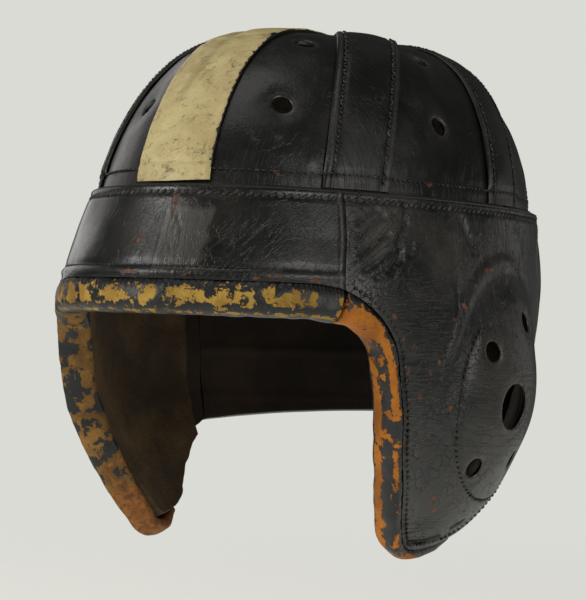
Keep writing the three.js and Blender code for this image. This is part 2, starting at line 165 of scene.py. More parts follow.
def punch(sheet, centre, axis, radius):
    """Cuts a round hole: opens the sheet round it, evens the ragged rim to a circle, and grows two
    rings inwards, the last one pressed in a little by the punch."""
    def off_axis(point):
        away = point - centre
        return away - axis * away.dot(axis)

    def within(point, reach):
        return off_axis(point).length < reach and (point - centre).length < 3 * radius

    wide, ragged = radius + 1.6, 2.5
    opened = [face for face in sheet.faces if within(face.calc_center_median(), wide)]
    bmesh.ops.delete(sheet, geom=opened, context="FACES")
    edges = [edge for edge in sheet.edges
             if edge.is_boundary and all(within(v.co, wide + ragged) for v in edge.verts)]
    rim = {v for edge in edges for v in edge.verts}
    order = [edges[0].verts[0], edges[0].verts[1]]
    while len(order) < len(rim):
        onward = [edge.other_vert(order[-1]) for edge in order[-1].link_edges if edge.is_boundary]
        order.append(next(v for v in onward if v in rim and v not in order))
    level = off_axis(order[0].co).normalized()
    upright = axis.cross(level)
    turns = [0.0]
    for v in order[1:]:
        away = off_axis(v.co)
        step = math.atan2(away.dot(upright), away.dot(level)) - turns[-1]
        turns.append(turns[-1] + math.remainder(step, 2 * math.pi))
    even = math.copysign(2 * math.pi, turns[-1]) / len(order)
    start = sum(turn - even * k for k, turn in enumerate(turns)) / len(order)
    for k, corner in enumerate(order):
        turn = start + even * k
        spoke = level * math.cos(turn) + upright * math.sin(turn)
        corner.co += spoke * wide - off_axis(corner.co)
    ring = {edge.other_vert(v) for v in rim for edge in v.link_edges} - rim
    ring |= {edge.other_vert(v) for v in ring for edge in v.link_edges} - rim
    for _ in range(5):
        bmesh.ops.smooth_vert(sheet, verts=list(ring), factor=0.5,
                              use_axis_x=True, use_axis_y=True, use_axis_z=True)
    for reach, sink in ((radius + 0.5, 0.05), (radius, 0.45)):
        grown = bmesh.ops.extrude_edge_only(sheet, edges=edges)["geom"]
        edges = [part for part in grown
                 if isinstance(part, bmesh.types.BMEdge) and part.is_boundary]
        for corner in {v for edge in edges for v in edge.verts}:
            away = off_axis(corner.co)
            corner.co += away.normalized() * (reach - away.length) - axis * sink


def bring_home(shape):
    """Leans the right cheek flap in by the set it has taken, and moves a shape to its place in
    metres."""
    for corner in shape.verts:
        x, y, z = corner.co
        if x < 0 and z < CURL_TOP:
            below = (CURL_TOP - z) / (CURL_TOP - CURL_TIP)
            corner.co.x += CURL_INWARD * below * below * ease(58, 25, y)
    bmesh.ops.transform(shape, matrix=HOME, verts=shape.verts)


def make_piece(name, shape, materials, stands_for=None):
    """A smooth piece of the helmet from a finished shape."""
    bring_home(shape)
    for face in shape.faces:
        face.smooth = True
    mesh = bpy.data.meshes.new(name)
    shape.to_mesh(mesh)
    shape.free()
    for material in materials:
        mesh.materials.append(material)
    piece = bpy.data.objects.new(name, mesh)
    bpy.context.collection.objects.link(piece)
    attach(piece, "root")
    if stands_for:
        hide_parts(stands_for)
    return piece


def finish_leather(name, sheet, thickness, materials, bevel=0.5, cut=0):
    """Gives a sheet its thickness inwards and rounds its cut edges."""
    piece = make_piece(name + "_leather", sheet, materials, name)
    wall = piece.modifiers.new("wall", "SOLIDIFY")
    wall.thickness = thickness / 1000
    wall.offset = -1
    wall.use_even_offset = False
    wall.material_offset = 1
    wall.material_offset_rim = cut
    edge = piece.modifiers.new("cut_edge", "BEVEL")
    edge.limit_method = "ANGLE"
    edge.angle_limit = math.radians(60)
    edge.width = bevel / 1000
    edge.segments = 2
    return piece


def paint(colour):
    """Linear colour of an sRGB hex value."""
    parts = [int(colour[i:i + 2], 16) / 255 for i in (1, 3, 5)]
    return [p / 12.92 if p <= 0.04045 else ((p + 0.055) / 1.055) ** 2.4 for p in parts] + [1.0]


def node(tree, kind, sockets, out=0, **settings):
    """Adds one node with its settings and sockets, and returns one of its outputs. A socket is
    given another node's output to link, an sRGB hex value to paint it, or a plain value."""
    made = tree.nodes.new("ShaderNode" + kind)
    for setting, value in settings.items():
        setattr(made, setting, value)
    for key, value in sockets.items():
        if isinstance(value, bpy.types.NodeSocket):
            tree.links.new(value, made.inputs[key])
        else:
            made.inputs[key].default_value = paint(value) if isinstance(value, str) else value
    return made.outputs[out] if made.outputs else None


# Settings that many nodes share: a smooth step from socket 1 to 2, and a mix of two colours.
SMOOTH = {"interpolation_type": "SMOOTHSTEP"}
COLOURS = {"data_type": "RGBA", "out": 2}


def new_material(name):
    """An empty material, and the node function bound to its tree."""
    material = bpy.data.materials.new(name)
    material.use_nodes = True
    material.node_tree.nodes.clear()
    return material, partial(node, material.node_tree)


def heap(add, *patterns):
    """Adds patterns up, each times its weight."""
    total = 0.0
    for pattern, weight in patterns:
        total = add("Math", {0: pattern, 1: weight, 2: total}, operation="MULTIPLY_ADD")
    return total


def coat(add, colour, *coats):
    """Lays coats over a colour, each with the share that it covers."""
    for share, tint in coats:
        colour = add("Mix", {0: share, 6: colour, 7: tint}, **COLOURS)
    return colour


def hairlines(add, where, turn, length, spacing, width, shift=(0, 0, 0)):
    """Thin winding lines along a direction, where a stretched noise crosses its middle value. Their
    length and spacing are in metres."""
    placed = add("Mapping", {"Vector": where, "Rotation": (0, 0, turn), "Location": shift,
                             "Scale": (length, spacing, 1)}, vector_type="TEXTURE")
    field = add("TexNoise", {"Vector": placed, "Scale": 1.0, "Detail": 3.0, "Roughness": 0.5,
                             "Distortion": 0.6})
    off = add("Math", {0: field, 1: 0.5}, operation="SUBTRACT")
    off = add("Math", {0: off}, operation="ABSOLUTE")
    return add("MapRange", {0: off, 2: width, 3: 1.0, 4: 0.0}, **SMOOTH)


def shade(add, sockets, height, depth):
    """Ends a material: a surface whose bump is a height of 0 to 1 times the depth in metres."""
    bump = add("Bump", {"Height": height, "Distance": depth, "Strength": 1.0})
    add("OutputMaterial", {"Surface": add("BsdfPrincipled", {**sockets, "Normal": bump})})


# Painted black leather is softly polished: grain pores under a millimetre, paint rubbed grey on
# what stands proud, red-brown leather where it is scuffed through, and hairline cracks where it
# has bent. The same grey is a painted highlight on a few sheen patches and hole rims, and creases
# and seams are darkened as painted shade. Wrinkles have a direction on the flat pattern, a length,
# spacing, width and shift.
WRINKLES = (("level", 0.03, 0.022, 0.0022, 0.045, (0, 0, 0)),
            ("upright", 1.52, 0.022, 0.003, 0.032, (3, 7, 0)),
            ("slanted", 0.72, 0.024, 0.0034, 0.034, (11, 2, 0)))


def black_leather(name, cracks, rough, rubbed_grey="#1d1c17", depth=0.00032):
    material, add = new_material(name)
    body = add("TexCoord", {}, out="Object")
    flat = add("UVMap", {}, uv_map="laid")
    worn = {mark: add("Attribute", {}, out="Fac", attribute_name=mark) for mark in MARKS}
    cloud, blotch, speck = (
        add("TexNoise", {"Vector": body, "Scale": scale, "Detail": detail, "Roughness": broken})
        for scale, detail, broken in ((24, 6, 0.62), (75, 4, 0.6), (420, 4, 0.7)))
    pores = add("TexVoronoi", {"Vector": body, "Scale": 1150.0})
    waver = add("TexNoise", {"Vector": body, "Scale": 160.0, "Detail": 3.0}, out="Color")
    bent = add("VectorMath", {0: waver, 1: (0.006,) * 3, 2: body}, operation="MULTIPLY_ADD")
    net = add("TexVoronoi", {"Vector": bent, "Scale": 230.0}, feature="DISTANCE_TO_EDGE")
    net = add("MapRange", {0: net, 2: 0.035, 3: 1.0, 4: 0.0}, **SMOOTH)
    cracked = add("MapRange", {0: blotch, 1: 0.42, 2: 0.6, 4: cracks}, **SMOOTH)
    lines = add("Math", {0: net, 1: cracked}, operation="MULTIPLY")
    for mark, turn, length, spacing, width, shift in WRINKLES:
        wrinkle = hairlines(add, flat, turn, length, spacing, width, shift)
        wrinkle = add("Math", {0: wrinkle, 1: worn[mark]}, operation="MULTIPLY")
        lines = add("Math", {0: lines, 1: wrinkle}, operation="MAXIMUM")
    # Painted shade in the creases, folds and seams of the first mark, together with the paint's
    # hairline cracks and wrinkles.
    shaded_grooves = add("Math", {0: lines, 1: worn["crease_shade"]}, operation="MAXIMUM")
    steep = hairlines(add, flat, 0.9, 0.05, 0.009, 0.005, (5, 1, 0))
    crossing = hairlines(add, flat, 2.3, 0.04, 0.012, 0.004, (8, 3, 0))
    scratch = add("Math", {0: steep, 1: crossing}, operation="MAXIMUM")
    scratched = add("MapRange", {0: blotch, 1: 0.52, 2: 0.62}, **SMOOTH)
    scratch = add("Math", {0: scratch, 1: scratched}, operation="MULTIPLY")
    rubbed = add("MapRange", {0: heap(add, (cloud, 1), (blotch, 0.35)), 1: 0.55, 2: 0.9}, **SMOOTH)
    # The edge mark turns the paint grey: rubbed on what stands proud, and a painted highlight where
    # a piece marks a sheen patch or a hole's rim.
    proud = add("MapRange", {0: worn["edge"], 1: 0.25, 4: 0.85}, **SMOOTH)
    patchy = heap(add, (worn["scuff"], 1), (speck, 1), (blotch, 0.8))
    through = add("MapRange", {0: patchy, 1: 1.2, 2: 1.5}, **SMOOTH)
    mottled = add("MapRange", {0: speck, 1: 0.38, 2: 0.62}, **SMOOTH)
    colour = coat(add, "#0c0c09", (rubbed, rubbed_grey), (proud, "#42413b"),
                  (heap(add, (scratch, 0.3)), "#4d4b44"), (heap(add, (shaded_grooves, 0.9)), "#040403"),
                  (through, coat(add, "#27160c", (mottled, "#6e3c16"))))
    gloss = add("MapRange", {0: cloud, 1: 0.25, 2: 0.75, 3: rough - 0.1, 4: rough + 0.12}, **SMOOTH)
    gloss = heap(add, (gloss, 1), (shaded_grooves, 0.15), (through, 0.25))
    height = heap(add, (pores, 0.07), (speck, 0.12), (blotch, 0.9), (lines, -0.8), (through, -0.3))
    shade(add, {"Base Color": colour, "Roughness": gloss, "IOR": 1.5}, height, depth)
    return material


# The flesh side of the leather was never painted: matt, fibrous, brown with sweat and age. A cut
# edge looks the same, darker for the paint and dirt on it.
def raw_leather(name, dark, light):
    material, add = new_material(name)
    body = add("TexCoord", {}, out="Object")
    fibre = add("TexNoise", {"Vector": body, "Scale": 600.0, "Detail": 5.0, "Roughness": 0.75})
    stain = add("TexNoise", {"Vector": body, "Scale": 20.0, "Detail": 4.0, "Roughness": 0.6})
    stained = add("MapRange", {0: stain, 1: 0.35, 2: 0.7}, **SMOOTH)
    dusty = add("MapRange", {0: fibre, 1: 0.4, 2: 0.7, 4: 0.35}, **SMOOTH)
    colour = coat(add, dark, (stained, light), (dusty, "#120d08"))
    shade(add, {"Base Color": colour, "Roughness": 0.88, "IOR": 1.45}, fibre, 0.0004)
    return material


crown_leather = black_leather("black_painted_harness_leather", 0.15, 0.36)
flesh_leather = raw_leather("flesh_side_of_leather", "#1d150d", "#35271a")


def gore_place(first, last, side):
    """A gore's sheet from the eye under the straps (down 0) to its tuck inside the band (1)."""
    bisector = math.radians((first + last) / 2)
    retreat = GAP / 2 / math.sin(math.radians(last - first) / 2)

    def place(across, down):
        angle = math.radians(lerp(first, last, across))
        share = min(down / (1 - TUCKED), 1.0)
        distance = lerp(EYE, reach_to_seam(angle, 0.0), math.sin(share * math.pi / 2))
        x = math.sin(angle) * distance + math.sin(bisector) * retreat
        y = CROSSING_Y - math.cos(angle) * distance - math.cos(bisector) * retreat
        flat = Vector((distance * angle * side, distance * FALL))
        if down <= 1 - TUCKED:
            point, normal = crown_point(x, y)
        else:
            z = lerp(0, TUCK_END, (down - 1 + TUCKED) / TUCKED)
            width = HALF_WIDTH * (1 + EGG * y / HALF_LENGTH)
            point, normal = wall_point(math.atan2(x / width, -y / HALF_LENGTH), z)
            point -= normal * (LEATHER + LAID_GAP) * ease(0, TUCK_CLEAR, z)
            flat.y -= z
        return point, normal, flat

    return handed(place, side)


def gore_relief(vents):
    """Dents round the vents, a flat hem along the seam with puckers over its stitches, and slight
    waves. The vents' rims are lightened as a painted highlight."""
    def relief(point, flat):
        dent = sum(bump_at((point - vent).length - VENT_RADIUS, 6.5) for vent in vents)
        wave = noise.noise(point * 0.035) * 0.5 + noise.noise(point * 0.11) * 0.12
        hem = ease(HEM + 0.5, HEM - 0.4, point.z) * 0.35
        groove = bump_at(point.z - HEM, 1.3)
        pucker = noise.noise(Vector((flat.x * 0.4, flat.y * 0.04, 2)))
        pucker *= bump_at(point.z - HEM - 5, 5)
        proud = wave * ease(0, 12, point.z) - 0.75 * dent + hem - 0.45 * groove + 0.45 * pucker
        fleck = ease(0.32, 0.5, noise.noise(point * 0.16 + Vector((4, 0, 0))))
        # The edge mark lights the vents' rims as a painted highlight and greys the hem as rubbed
        # paint.
        return (proud, 0.35 * groove, fleck * bump_at(point.z - HEM + 0.5, 1.6),
                0.5 * ease(0.2, 0.9, dent) + 0.5 * (1 - groove) * hem, 0.5 * hem,
                0.12 * ease(35, 12, point.z), 0.0)

    return relief


# Outer face of the band and panels at a few heights: half length to the front and to the back,
# half width, and how much narrower the front is. A place on it is a turn from the front and a
# height.
WALL_HEIGHTS = (0, -18, -37, -60, -85, -110, -140, -150)
WALL = {
    "front": (124.8, 131, 138, 135, 133, 130, 117, 112),
    "back": (124.8, 127, 130, 130, 126, 118, 112, 109.5),
    "side": (90.2, 92.8, 95, 95.5, 92.5, 84.1, 73, 68.5),
    "egg": (0.19, 0.14, 0.11, 0.06, 0.05, 0.06, 0.08, 0.085),
}


def between(keys, values, at):
    """Smooth value of a table's column at a position between its rows."""
    forward = 1 if keys[1] > keys[0] else -1
    i = 0
    while i < len(keys) - 2 and (at - keys[i + 1]) * forward > 0:
        i += 1

    def slope(k):
        a, b = max(k - 1, 0), min(k + 1, len(keys) - 1)
        return (values[b] - values[a]) / (keys[b] - keys[a])

    span = keys[i + 1] - keys[i]
    t = (at - keys[i]) / span
    return ((2 * t**3 - 3 * t**2 + 1) * values[i] + (t**3 - 2 * t**2 + t) * span * slope(i)
            + (3 * t**2 - 2 * t**3) * values[i + 1] + (t**3 - t**2) * span * slope(i + 1))


@lru_cache(maxsize=None)
def wall_ring(z):
    return [between(WALL_HEIGHTS, WALL[column], z) for column in ("front", "back", "side", "egg")]


def wall_skin(turn, z):
    front, back, side, egg = wall_ring(z)
    x = side * math.sin(turn) * (1 - egg * math.cos(turn))
    return Vector((x, (back - front) / 2 - (back + front) / 2 * math.cos(turn), z))


def wall_point(turn, z):
    return wall_skin(turn, z), normal_of(wall_skin, turn, z, 1e-3, 0.1)


SIDES_OF_HEAD = ((1, "left"), (-1, "right"))
FACE_SIZE, GORE_RADIUS, GORE_ROWS = 1.5, 95, 96
for gore_name, (first, last) in GORES.items():
    for side, hand in SIDES_OF_HEAD:
        vents = [handed(crown_point, side)(x, y) for x, y in VENTS[gore_name]]
        width = math.radians(last - first) * GORE_RADIUS
        gore = lay(round(width / FACE_SIZE), GORE_ROWS, gore_place(first, last, side),
                   gore_relief([vent for vent, _ in vents]))
        for vent, out in vents:
            punch(gore, vent, out, VENT_RADIUS)
        finish_leather(f"{gore_name}_{hand}", gore, LEATHER, [crown_leather, flesh_leather],
                       bevel=0.6)


# Centre strap: one 1.9 mm strap from the brow over the top to the nape, sewn down both sides. Its
# cream paint is thick and brittle: cracked across the bends, chipped along the edges, and grey
# with dirt that lies in the grain.
CENTRE_HALF_WIDTH = 15.7
CENTRE_LENGTH = 330
# The strap's ends stop this turn short of the seam, and it has crept to the right on top.
STRAP_FOOT = 0.027
DRIFT, LEAST_DRIFT = 6.2, 5.2


def cream_leather():
    material, add = new_material("cream_painted_strap_leather")
    body = add("TexCoord", {}, out="Object")
    flat = add("UVMap", {}, uv_map="laid")
    crease_shade = add("Attribute", {}, out="Fac", attribute_name="crease_shade")
    scuff = add("Attribute", {}, out="Fac", attribute_name="scuff")
    cloud, dirt, speck = (
        add("TexNoise", {"Vector": body, "Scale": scale, "Detail": detail, "Roughness": broken})
        for scale, detail, broken in ((45, 6, 0.65), (150, 6, 0.72), (800, 3, 0.7)))
    pores = add("TexVoronoi", {"Vector": body, "Scale": 1000.0})
    across = hairlines(add, flat, 0.1, 0.012, 0.0035, 0.02)
    along = hairlines(add, flat, 1.35, 0.014, 0.004, 0.016, (4, 9, 0))
    cracks = add("Math", {0: across, 1: along}, operation="MAXIMUM")
    dirty = add("MapRange", {0: dirt, 1: 0.5, 2: 0.64}, **SMOOTH)
    cracks = add("Math", {0: cracks, 1: dirty}, operation="MULTIPLY")
    gone = add("MapRange", {0: heap(add, (scuff, 1), (dirt, 0.9)), 1: 1.02, 2: 1.1}, **SMOOTH)
    colour = "#b8a471"
    for pattern, low, high, most, tint in (
            (cloud, 0.35, 0.68, 1, "#d0c08b"), (dirt, 0.5, 0.72, 0.6, "#8f835a"),
            (speck, 0.6, 0.7, 0.6, "#665d42")):
        share = add("MapRange", {0: pattern, 1: low, 2: high, 4: most}, **SMOOTH)
        colour = coat(add, colour, (share, tint))
    # Painted shade darkens the strap along its folds, hem and sewn seam.
    shaded_folds = add("MapRange", {0: crease_shade, 1: 0.15, 4: 0.8}, **SMOOTH)
    colour = coat(add, colour, (heap(add, (cracks, 0.75)), "#443c2b"), (shaded_folds, "#5d5436"),
                  (gone, "#1a1711"))
    height = heap(add, (pores, 0.2), (dirt, 0.5), (cracks, -0.6), (gone, -0.7))
    rough = add("MapRange", {0: cloud, 1: 0.3, 2: 0.7, 3: 0.42, 4: 0.56}, **SMOOTH)
    shade(add, {"Base Color": colour, "Roughness": rough, "IOR": 1.5}, height, 0.0003)
    return material


def centre_place(across, down):
    """The strap's sheet from the brow (down 0) over the top to the nape (down 1)."""
    aside = lerp(-CENTRE_HALF_WIDTH, CENTRE_HALF_WIDTH, across)
    front = CROSSING_Y - reach_to_seam(0.0, round(aside, 3))
    back = CROSSING_Y + reach_to_seam(math.pi, round(-aside, 3))
    round_top = lerp(STRAP_FOOT, math.pi - STRAP_FOOT, down)
    drift = DRIFT * math.sin(round_top)
    point, normal = crown_point(aside - drift, lerp(front, back, (1 - math.cos(round_top)) / 2))
    point += normal * (LAID_GAP + STRAP - SUNK)
    point.z = max(point.z, LAID_GAP)
    return point, normal, Vector((aside, down * CENTRE_LENGTH))


def centre_relief(point, flat):
    """Edges rounded over the sewing, chipped paint along them, and two soft folds near the brow."""
    inset = CENTRE_HALF_WIDTH - abs(flat.x)
    ragged = noise.noise(Vector((flat.x * 0.05, flat.y * 0.5, 3))) * 0.7
    edge = ease(1.6, 0.0, inset)
    seam = bump_at(inset - 3.4, 1.6)
    front = ease(60, 10, flat.y)
    fold = bump_at(flat.x + 4.5 + 2 * math.sin(flat.y * 0.06), 5)
    fold *= ease(30, 55, flat.y) * ease(150, 100, flat.y)
    hem = bump_at(point.z - 7.5 - LAID_GAP, 1.2) * front
    bend = bump_at(flat.y - 92 - flat.x * 0.12, 1.2)
    proud = -0.8 * edge * edge - 0.35 * seam - 0.6 * fold + noise.noise(point * 0.08) * 0.3
    proud -= 0.3 * hem + 0.35 * bend
    chipped = ease(1.7, 0.2, inset + 1.3 * ragged) * 0.85 + 0.35 * bend
    chipped += bump_at(math.hypot(flat.x - 15, (flat.y - 94) * 0.8), 2.6)
    chipped += ease(LAID_GAP + 1.6, LAID_GAP + 0.2, point.z + ragged) * 0.25
    chipped -= 0.6 * ease(9, 3, point.z) * front
    return proud, 0.5 * fold + 0.45 * hem + 0.3 * seam, min(chipped, 1.0), edge


cream_strap = cream_leather()
strap_edge = raw_leather("painted_cut_edge_leather", "#100f0c", "#1d1a15")
centre = lay(26, 230, centre_place, centre_relief)
finish_leather("centre_strap", centre, STRAP, [cream_strap, strap_edge], 0.4, 1)


# Side straps: six black straps of the same leather over the other gore seams, each cut to a point
# where it runs under the strap that lies over it. The needle's pull has beaded their edges.
SIDE_HALF_WIDTH = 13.8
STRAP_LINES = {"front_strap": 28.5, "cross_strap": 77.2, "rear_strap": 130.0}
SEWN_IN = 3.6


def strap_start(angle, over, aside):
    """Distance from the crossing at which a strap comes out from under the others."""
    starts = []
    for line, half_width in over:
        spread = angle - line
        nearer = math.copysign(1, math.sin(spread)) * aside * math.cos(spread)
        starts.append((half_width + LAID_GAP - nearer) / abs(math.sin(spread)))
    return max(starts)


def strap_place(angle, over, side):
    def place(across, down):
        aside = round(lerp(-SIDE_HALF_WIDTH, SIDE_HALF_WIDTH, across), 3)
        near, far = strap_start(angle, over, aside), reach_to_seam(angle, aside)
        distance = lerp(near, far, math.sin(down * (math.pi / 2 - STRAP_FOOT)))
        point, normal = crown_point(*from_crossing(angle, distance, aside))
        point += normal * (LAID_GAP + STRAP - SUNK)
        point.z = max(point.z, LAID_GAP)
        return point, normal, Vector((aside, distance * FALL))

    return handed(place, side)


def strap_relief(point, flat):
    """A rounded bead along each edge, a groove where the thread pulls in, and the flat hem at the
    seam."""
    inset = SIDE_HALF_WIDTH - abs(flat.x)
    ragged = noise.noise(Vector((flat.y * 0.25, flat.x * 0.1, 5))) * 0.35
    edge = ease(1.3, 0.0, inset + ragged * 0.5)
    bead = bump_at(inset - 1.7, 1.5)
    seam = bump_at(inset - SEWN_IN, 1.5)
    hem = bump_at(point.z - HEM - LAID_GAP, 1.3)
    hump = 0.8 * math.cos(flat.x / SIDE_HALF_WIDTH * math.pi / 2)
    flattened = ease(10, 3, point.z)
    proud = -0.9 * edge * edge + 0.25 * bead - 0.6 * seam + (hump - 0.5) * (1 - flattened)
    proud -= 0.5 * hem + 0.5 * flattened * (1 - edge)
    return (proud + noise.noise(point * 0.09) * 0.3, 0.45 * seam + 0.4 * hem, 0.0, 0.75 * bead,
            0.3 * (1 - edge), 0.15 * ease(30, 8, point.z), 0.0)


strap_leather = black_leather("black_painted_strap_leather", 0.3, 0.4)
for strap_name, degrees in STRAP_LINES.items():
    for side, hand in SIDES_OF_HEAD:
        lying_over = [(0.0, CENTRE_HALF_WIDTH + (DRIFT if side < 0 else -LEAST_DRIFT))]
        if strap_name != "cross_strap":
            lying_over.append((math.radians(STRAP_LINES["cross_strap"]), SIDE_HALF_WIDTH))
        strap = lay(26, 110, strap_place(math.radians(degrees), lying_over, side), strap_relief)
        finish_leather(f"{strap_name}_{hand}", strap, STRAP, [strap_leather, strap_edge], bevel=0.4)


# Brow band: a strip of the same leather, 37 mm deep, cracked where it has bent. A heavy cord-like
# seam holds the crown to it, and a ridge over the roll's seam runs along its foot. The brim is the
# edge of band and panels, in rows from the middle of the brow to the nape.
BRIM = {
    "turn": (0, 12, 24, 36, 43, 48.6, 53.6, 57, 59, 62.2, 66.2, 69.8, 74, 82.5, 91, 99.5, 109, 118),
    "z": (-37, -37, -37, -37, -37.6, -40.5, -48, -60, -77, -95, -113, -132.5, -143.2, -143.8,
          -138.3, -125, -111.5, -101),
    "reach": (13, 13, 13, 13, 13, 12, 9, 6.5, 5.5, 5.5, 5.5, 5.5, 6, 5.3, 4, 3, 3, 3),
    "proud": (2.2, 2.2, 2.2, 2.2, 2, 1.8, 1.4, 1, 0.8, 0.8, 0.8, 0.8, 0.8, 0.6, 0.4, 0.3, 0.3, 0.3),
    "depth": (11, 11, 11, 11, 11, 11.5, 12.5, 13.5, 14, 14, 13.5, 12.5, 11, 9, 7, 6, 6, 6),
}
BAND_END = 4.7
BRIM_END = len(BRIM["turn"]) - 1
PATTERN_RADIUS, TEMPLE_RADIUS = 112, 138


@lru_cache(maxsize=None)
def brim_at(row):
    """Turn, height, reach, proud and depth of the leather's edge at a row of the table."""
    rows = range(BRIM_END + 1)
    turn, *rest = (between(rows, BRIM[column], abs(row)) for column in BRIM)
    return (math.copysign(math.radians(turn), row), *rest)


def band_place(across, down):
    row = round(lerp(-BAND_END, BAND_END, across), 5)
    end = brim_at(BAND_END)[0] - GAP / 2 / TEMPLE_RADIUS
    turn = max(-end, min(brim_at(row)[0], end))
    z = brim_at(row)[1] * down
    return (*wall_point(turn, round(z, 3)), Vector((turn * PATTERN_RADIUS, z)))


DEGREES, DEGREE_WIDTH = 57.3, 1.95


def spot(point, flat, spots):
    """How much of a mark there is: each spot has a turn, a height and two half sizes."""
    wander = noise.noise(point * 0.35) * 0.45
    share = 0.0
    for turn, z, half_width, half_height in spots:
        away = math.hypot((flat.x / PATTERN_RADIUS * DEGREES - turn) * DEGREE_WIDTH / half_width,
                          (flat.y - z) / half_height)
        share = max(share, 1 - away + wander if away < 1.3 else 0.0)
    return min(share, 1.0)


BAND_SCUFFS = ((4.9, -6.5, 4, 3.2), (4.2, -11, 1.6, 4), (-11.5, -16.5, 1.2, 4.5),
               (-4.6, -21.5, 1.6, 5), (-10, -28, 1, 3), (7.4, -34.5, 1.2, 1))
SEAM_CORD = -3.4
# Bounds of a grey patch on the band: partly real polishing, partly a painted highlight.
POLISH_AND_SHEEN_LEFT, POLISH_AND_SHEEN_RIGHT, POLISH_AND_SHEEN_TOP, POLISH_AND_SHEEN_FOOT = 3.5, 31, -8, -34


def band_relief(point, flat):
    """The sewn top edge, the ridge over the roll's seam, and a polished place that has cracked
    upright. That place's grey is partly real polishing and partly a painted highlight."""
    x, z = flat
    top = ease(-1.3, 0, z)
    cord = bump_at(z - SEAM_CORD, 1.9)
    ridge = bump_at(z + 34.6, 2.1)
    groove = bump_at(z + 31.6, 1.5)
    lip = bump_at(abs(x) - brim_at(BAND_END)[0] * PATTERN_RADIUS + 2, 2)
    rough_edge = 2.5 * noise.noise(Vector((x * 0.25, z * 0.25, 9)))
    lean = x - (z + 20) * 0.12 + rough_edge
    polish_and_sheen = ease(POLISH_AND_SHEEN_LEFT - 1, POLISH_AND_SHEEN_LEFT + 1.5, lean)
    polish_and_sheen *= ease(POLISH_AND_SHEEN_RIGHT + 2, POLISH_AND_SHEEN_RIGHT - 4, lean)
    polish_and_sheen *= ease(POLISH_AND_SHEEN_TOP + 1, POLISH_AND_SHEEN_TOP - 3, z + rough_edge * 0.5)
    polish_and_sheen *= ease(POLISH_AND_SHEEN_FOOT - 1, POLISH_AND_SHEEN_FOOT + 2, z)
    bent = bump_at(x - 20, 48) * ease(-6, -16, z)
    split = abs(noise.noise(Vector(((x - z * 0.1) * 0.17, z * 0.03, 1))))
    crack = ease(0.06, 0.0, split) * bent
    proud = -0.7 * top - 0.5 * cord + 0.7 * ridge - 0.5 * groove + 0.5 * lip - 0.3 * crack
    proud += noise.noise(point * 0.05) * 0.5 * ease(0, -6, z) * ease(-37, -30, z)
    slanted = bump_at(x - 45, 26) * ease(-8, -22, z)
    fleck = ease(0.2, 0.45, noise.noise(Vector((x * 0.12, z * 0.5, 6)))) * bump_at(z + 35.6, 1.6)
    return (proud, 0.4 * groove + 0.6 * crack + 0.35 * cord,
            max(spot(point, flat, BAND_SCUFFS), 0.9 * fleck),
            min(0.45 * ridge + 0.7 * lip + 0.95 * polish_and_sheen, 1.0), 0.25 * ridge,
            0.6 * bump_at(x - 14, 22) * bent, 0.4 * slanted + 0.2 * bump_at(x - 84, 12))


band_leather = black_leather("black_painted_band_leather", 0.25, 0.33)
brow = lay(250, 36, band_place, band_relief)
finish_leather("brow_band", brow, LEATHER, [band_leather, flesh_leather])


# Side panels: one moulded leather on each side makes the wall, the dome over the ear and the cheek
# flap. The dome stands on a raised arch, a pad is sewn in a loop inside it, and the leather is
# wrinkled where the flap bends. It is punched with a listening hole and five vents.
EAR_Y, EAR_Z, EAR_REACH, EAR_UP, EAR_DOWN, EAR_RISE, EAR_POWER = 0, -90, 50, 66, 58, 12.5, 1.4
# Each hole's place seen from the side, and its radius.
EAR_HOLES = ((-8, -82, 9.6), (8, -48.6, 4.3), (-23, -61, 4.3), (26, -59, 4.3), (-20.4, -107, 4.3),
             (10, -103.7, 4.3))
LOOP_Y, LOOP_Z, LOOP_REACH, LOOP_DROP = 2, -80, 41, 42
# A star-shaped fold below the ear, at a place of the flat pattern.
STAR = (137, -88)
FLAP_TIP = 12
NAPE_EDGE, EAR_RADIUS, NAPE_RADIUS = 118.0, 133, 131
PANEL_SCUFFS = ((68, -66, 1, 2), (72, -84, 1.4, 1.2), (60, -70, 1, 1.4), (66.5, -88, 0.8, 1.6),
                (69.4, -95.3, 2.2, 1.6), (63.9, -79.5, 1.4, 3), (78.1, -126.3, 3.5, 2.4),
                (76.6, -123, 1.5, 4), (57, -48.5, 2.4, 3), (61.4, -59.3, 1.2, 2.2),
                (66, -70, 0.9, 2.4), (68, -104, 1.2, 1.8), (97.5, -24.7, 2.5, 3),
                (90.4, -32.8, 1, 3), (84, -28, 4.5, 1.4), (79.5, -36, 1.6, 4), (75.5, -44, 2, 3),
                (72.5, -49, 1.5, 2), (58.5, -57, 1, 2), (56.5, -52, 1.2, 1.5))
# Each fold's line in turns and heights, its half width, and how far it stands proud or is sunk.
CREASES = ((((61.6, -4.5), (61.0, -12), (59.4, -18), (59.6, -24), (57.5, -32)), 1.6, -1.2),
           (((77.4, -5.7), (79.2, -13.8), (81.4, -21.8)), 1.5, 0.9),
           (((75.5, -6.5), (77.3, -14), (79.3, -22)), 1.3, -0.5),
           (((62.8, -19), (61.8, -24)), 1.3, -0.7),
           (((50.5, -25), (53.5, -20.5), (57, -16)), 1.3, -0.8),
           (((50, -18), (52.5, -14), (56, -9)), 1.3, -0.7),
           (((51.5, -31), (55, -27), (58.5, -22)), 1.3, -0.8),
           (((54, -34), (57, -30), (59.8, -26)), 1.3, -0.7),
           (((49.6, -13), (52, -9.5), (54.5, -6.5)), 1.2, -0.6),
           (((86.6, -134.8), (89.6, -131.6)), 1.3, -1.3),
           (((74, -141.2), (79, -141), (84, -138.6)), 1.4, -1.2))


def ear_oval(y, z):
    """1 on the outline of the ear dome, less inside it."""
    return math.hypot((y - EAR_Y) / EAR_REACH, (z - EAR_Z) / (EAR_UP if z > EAR_Z else EAR_DOWN))


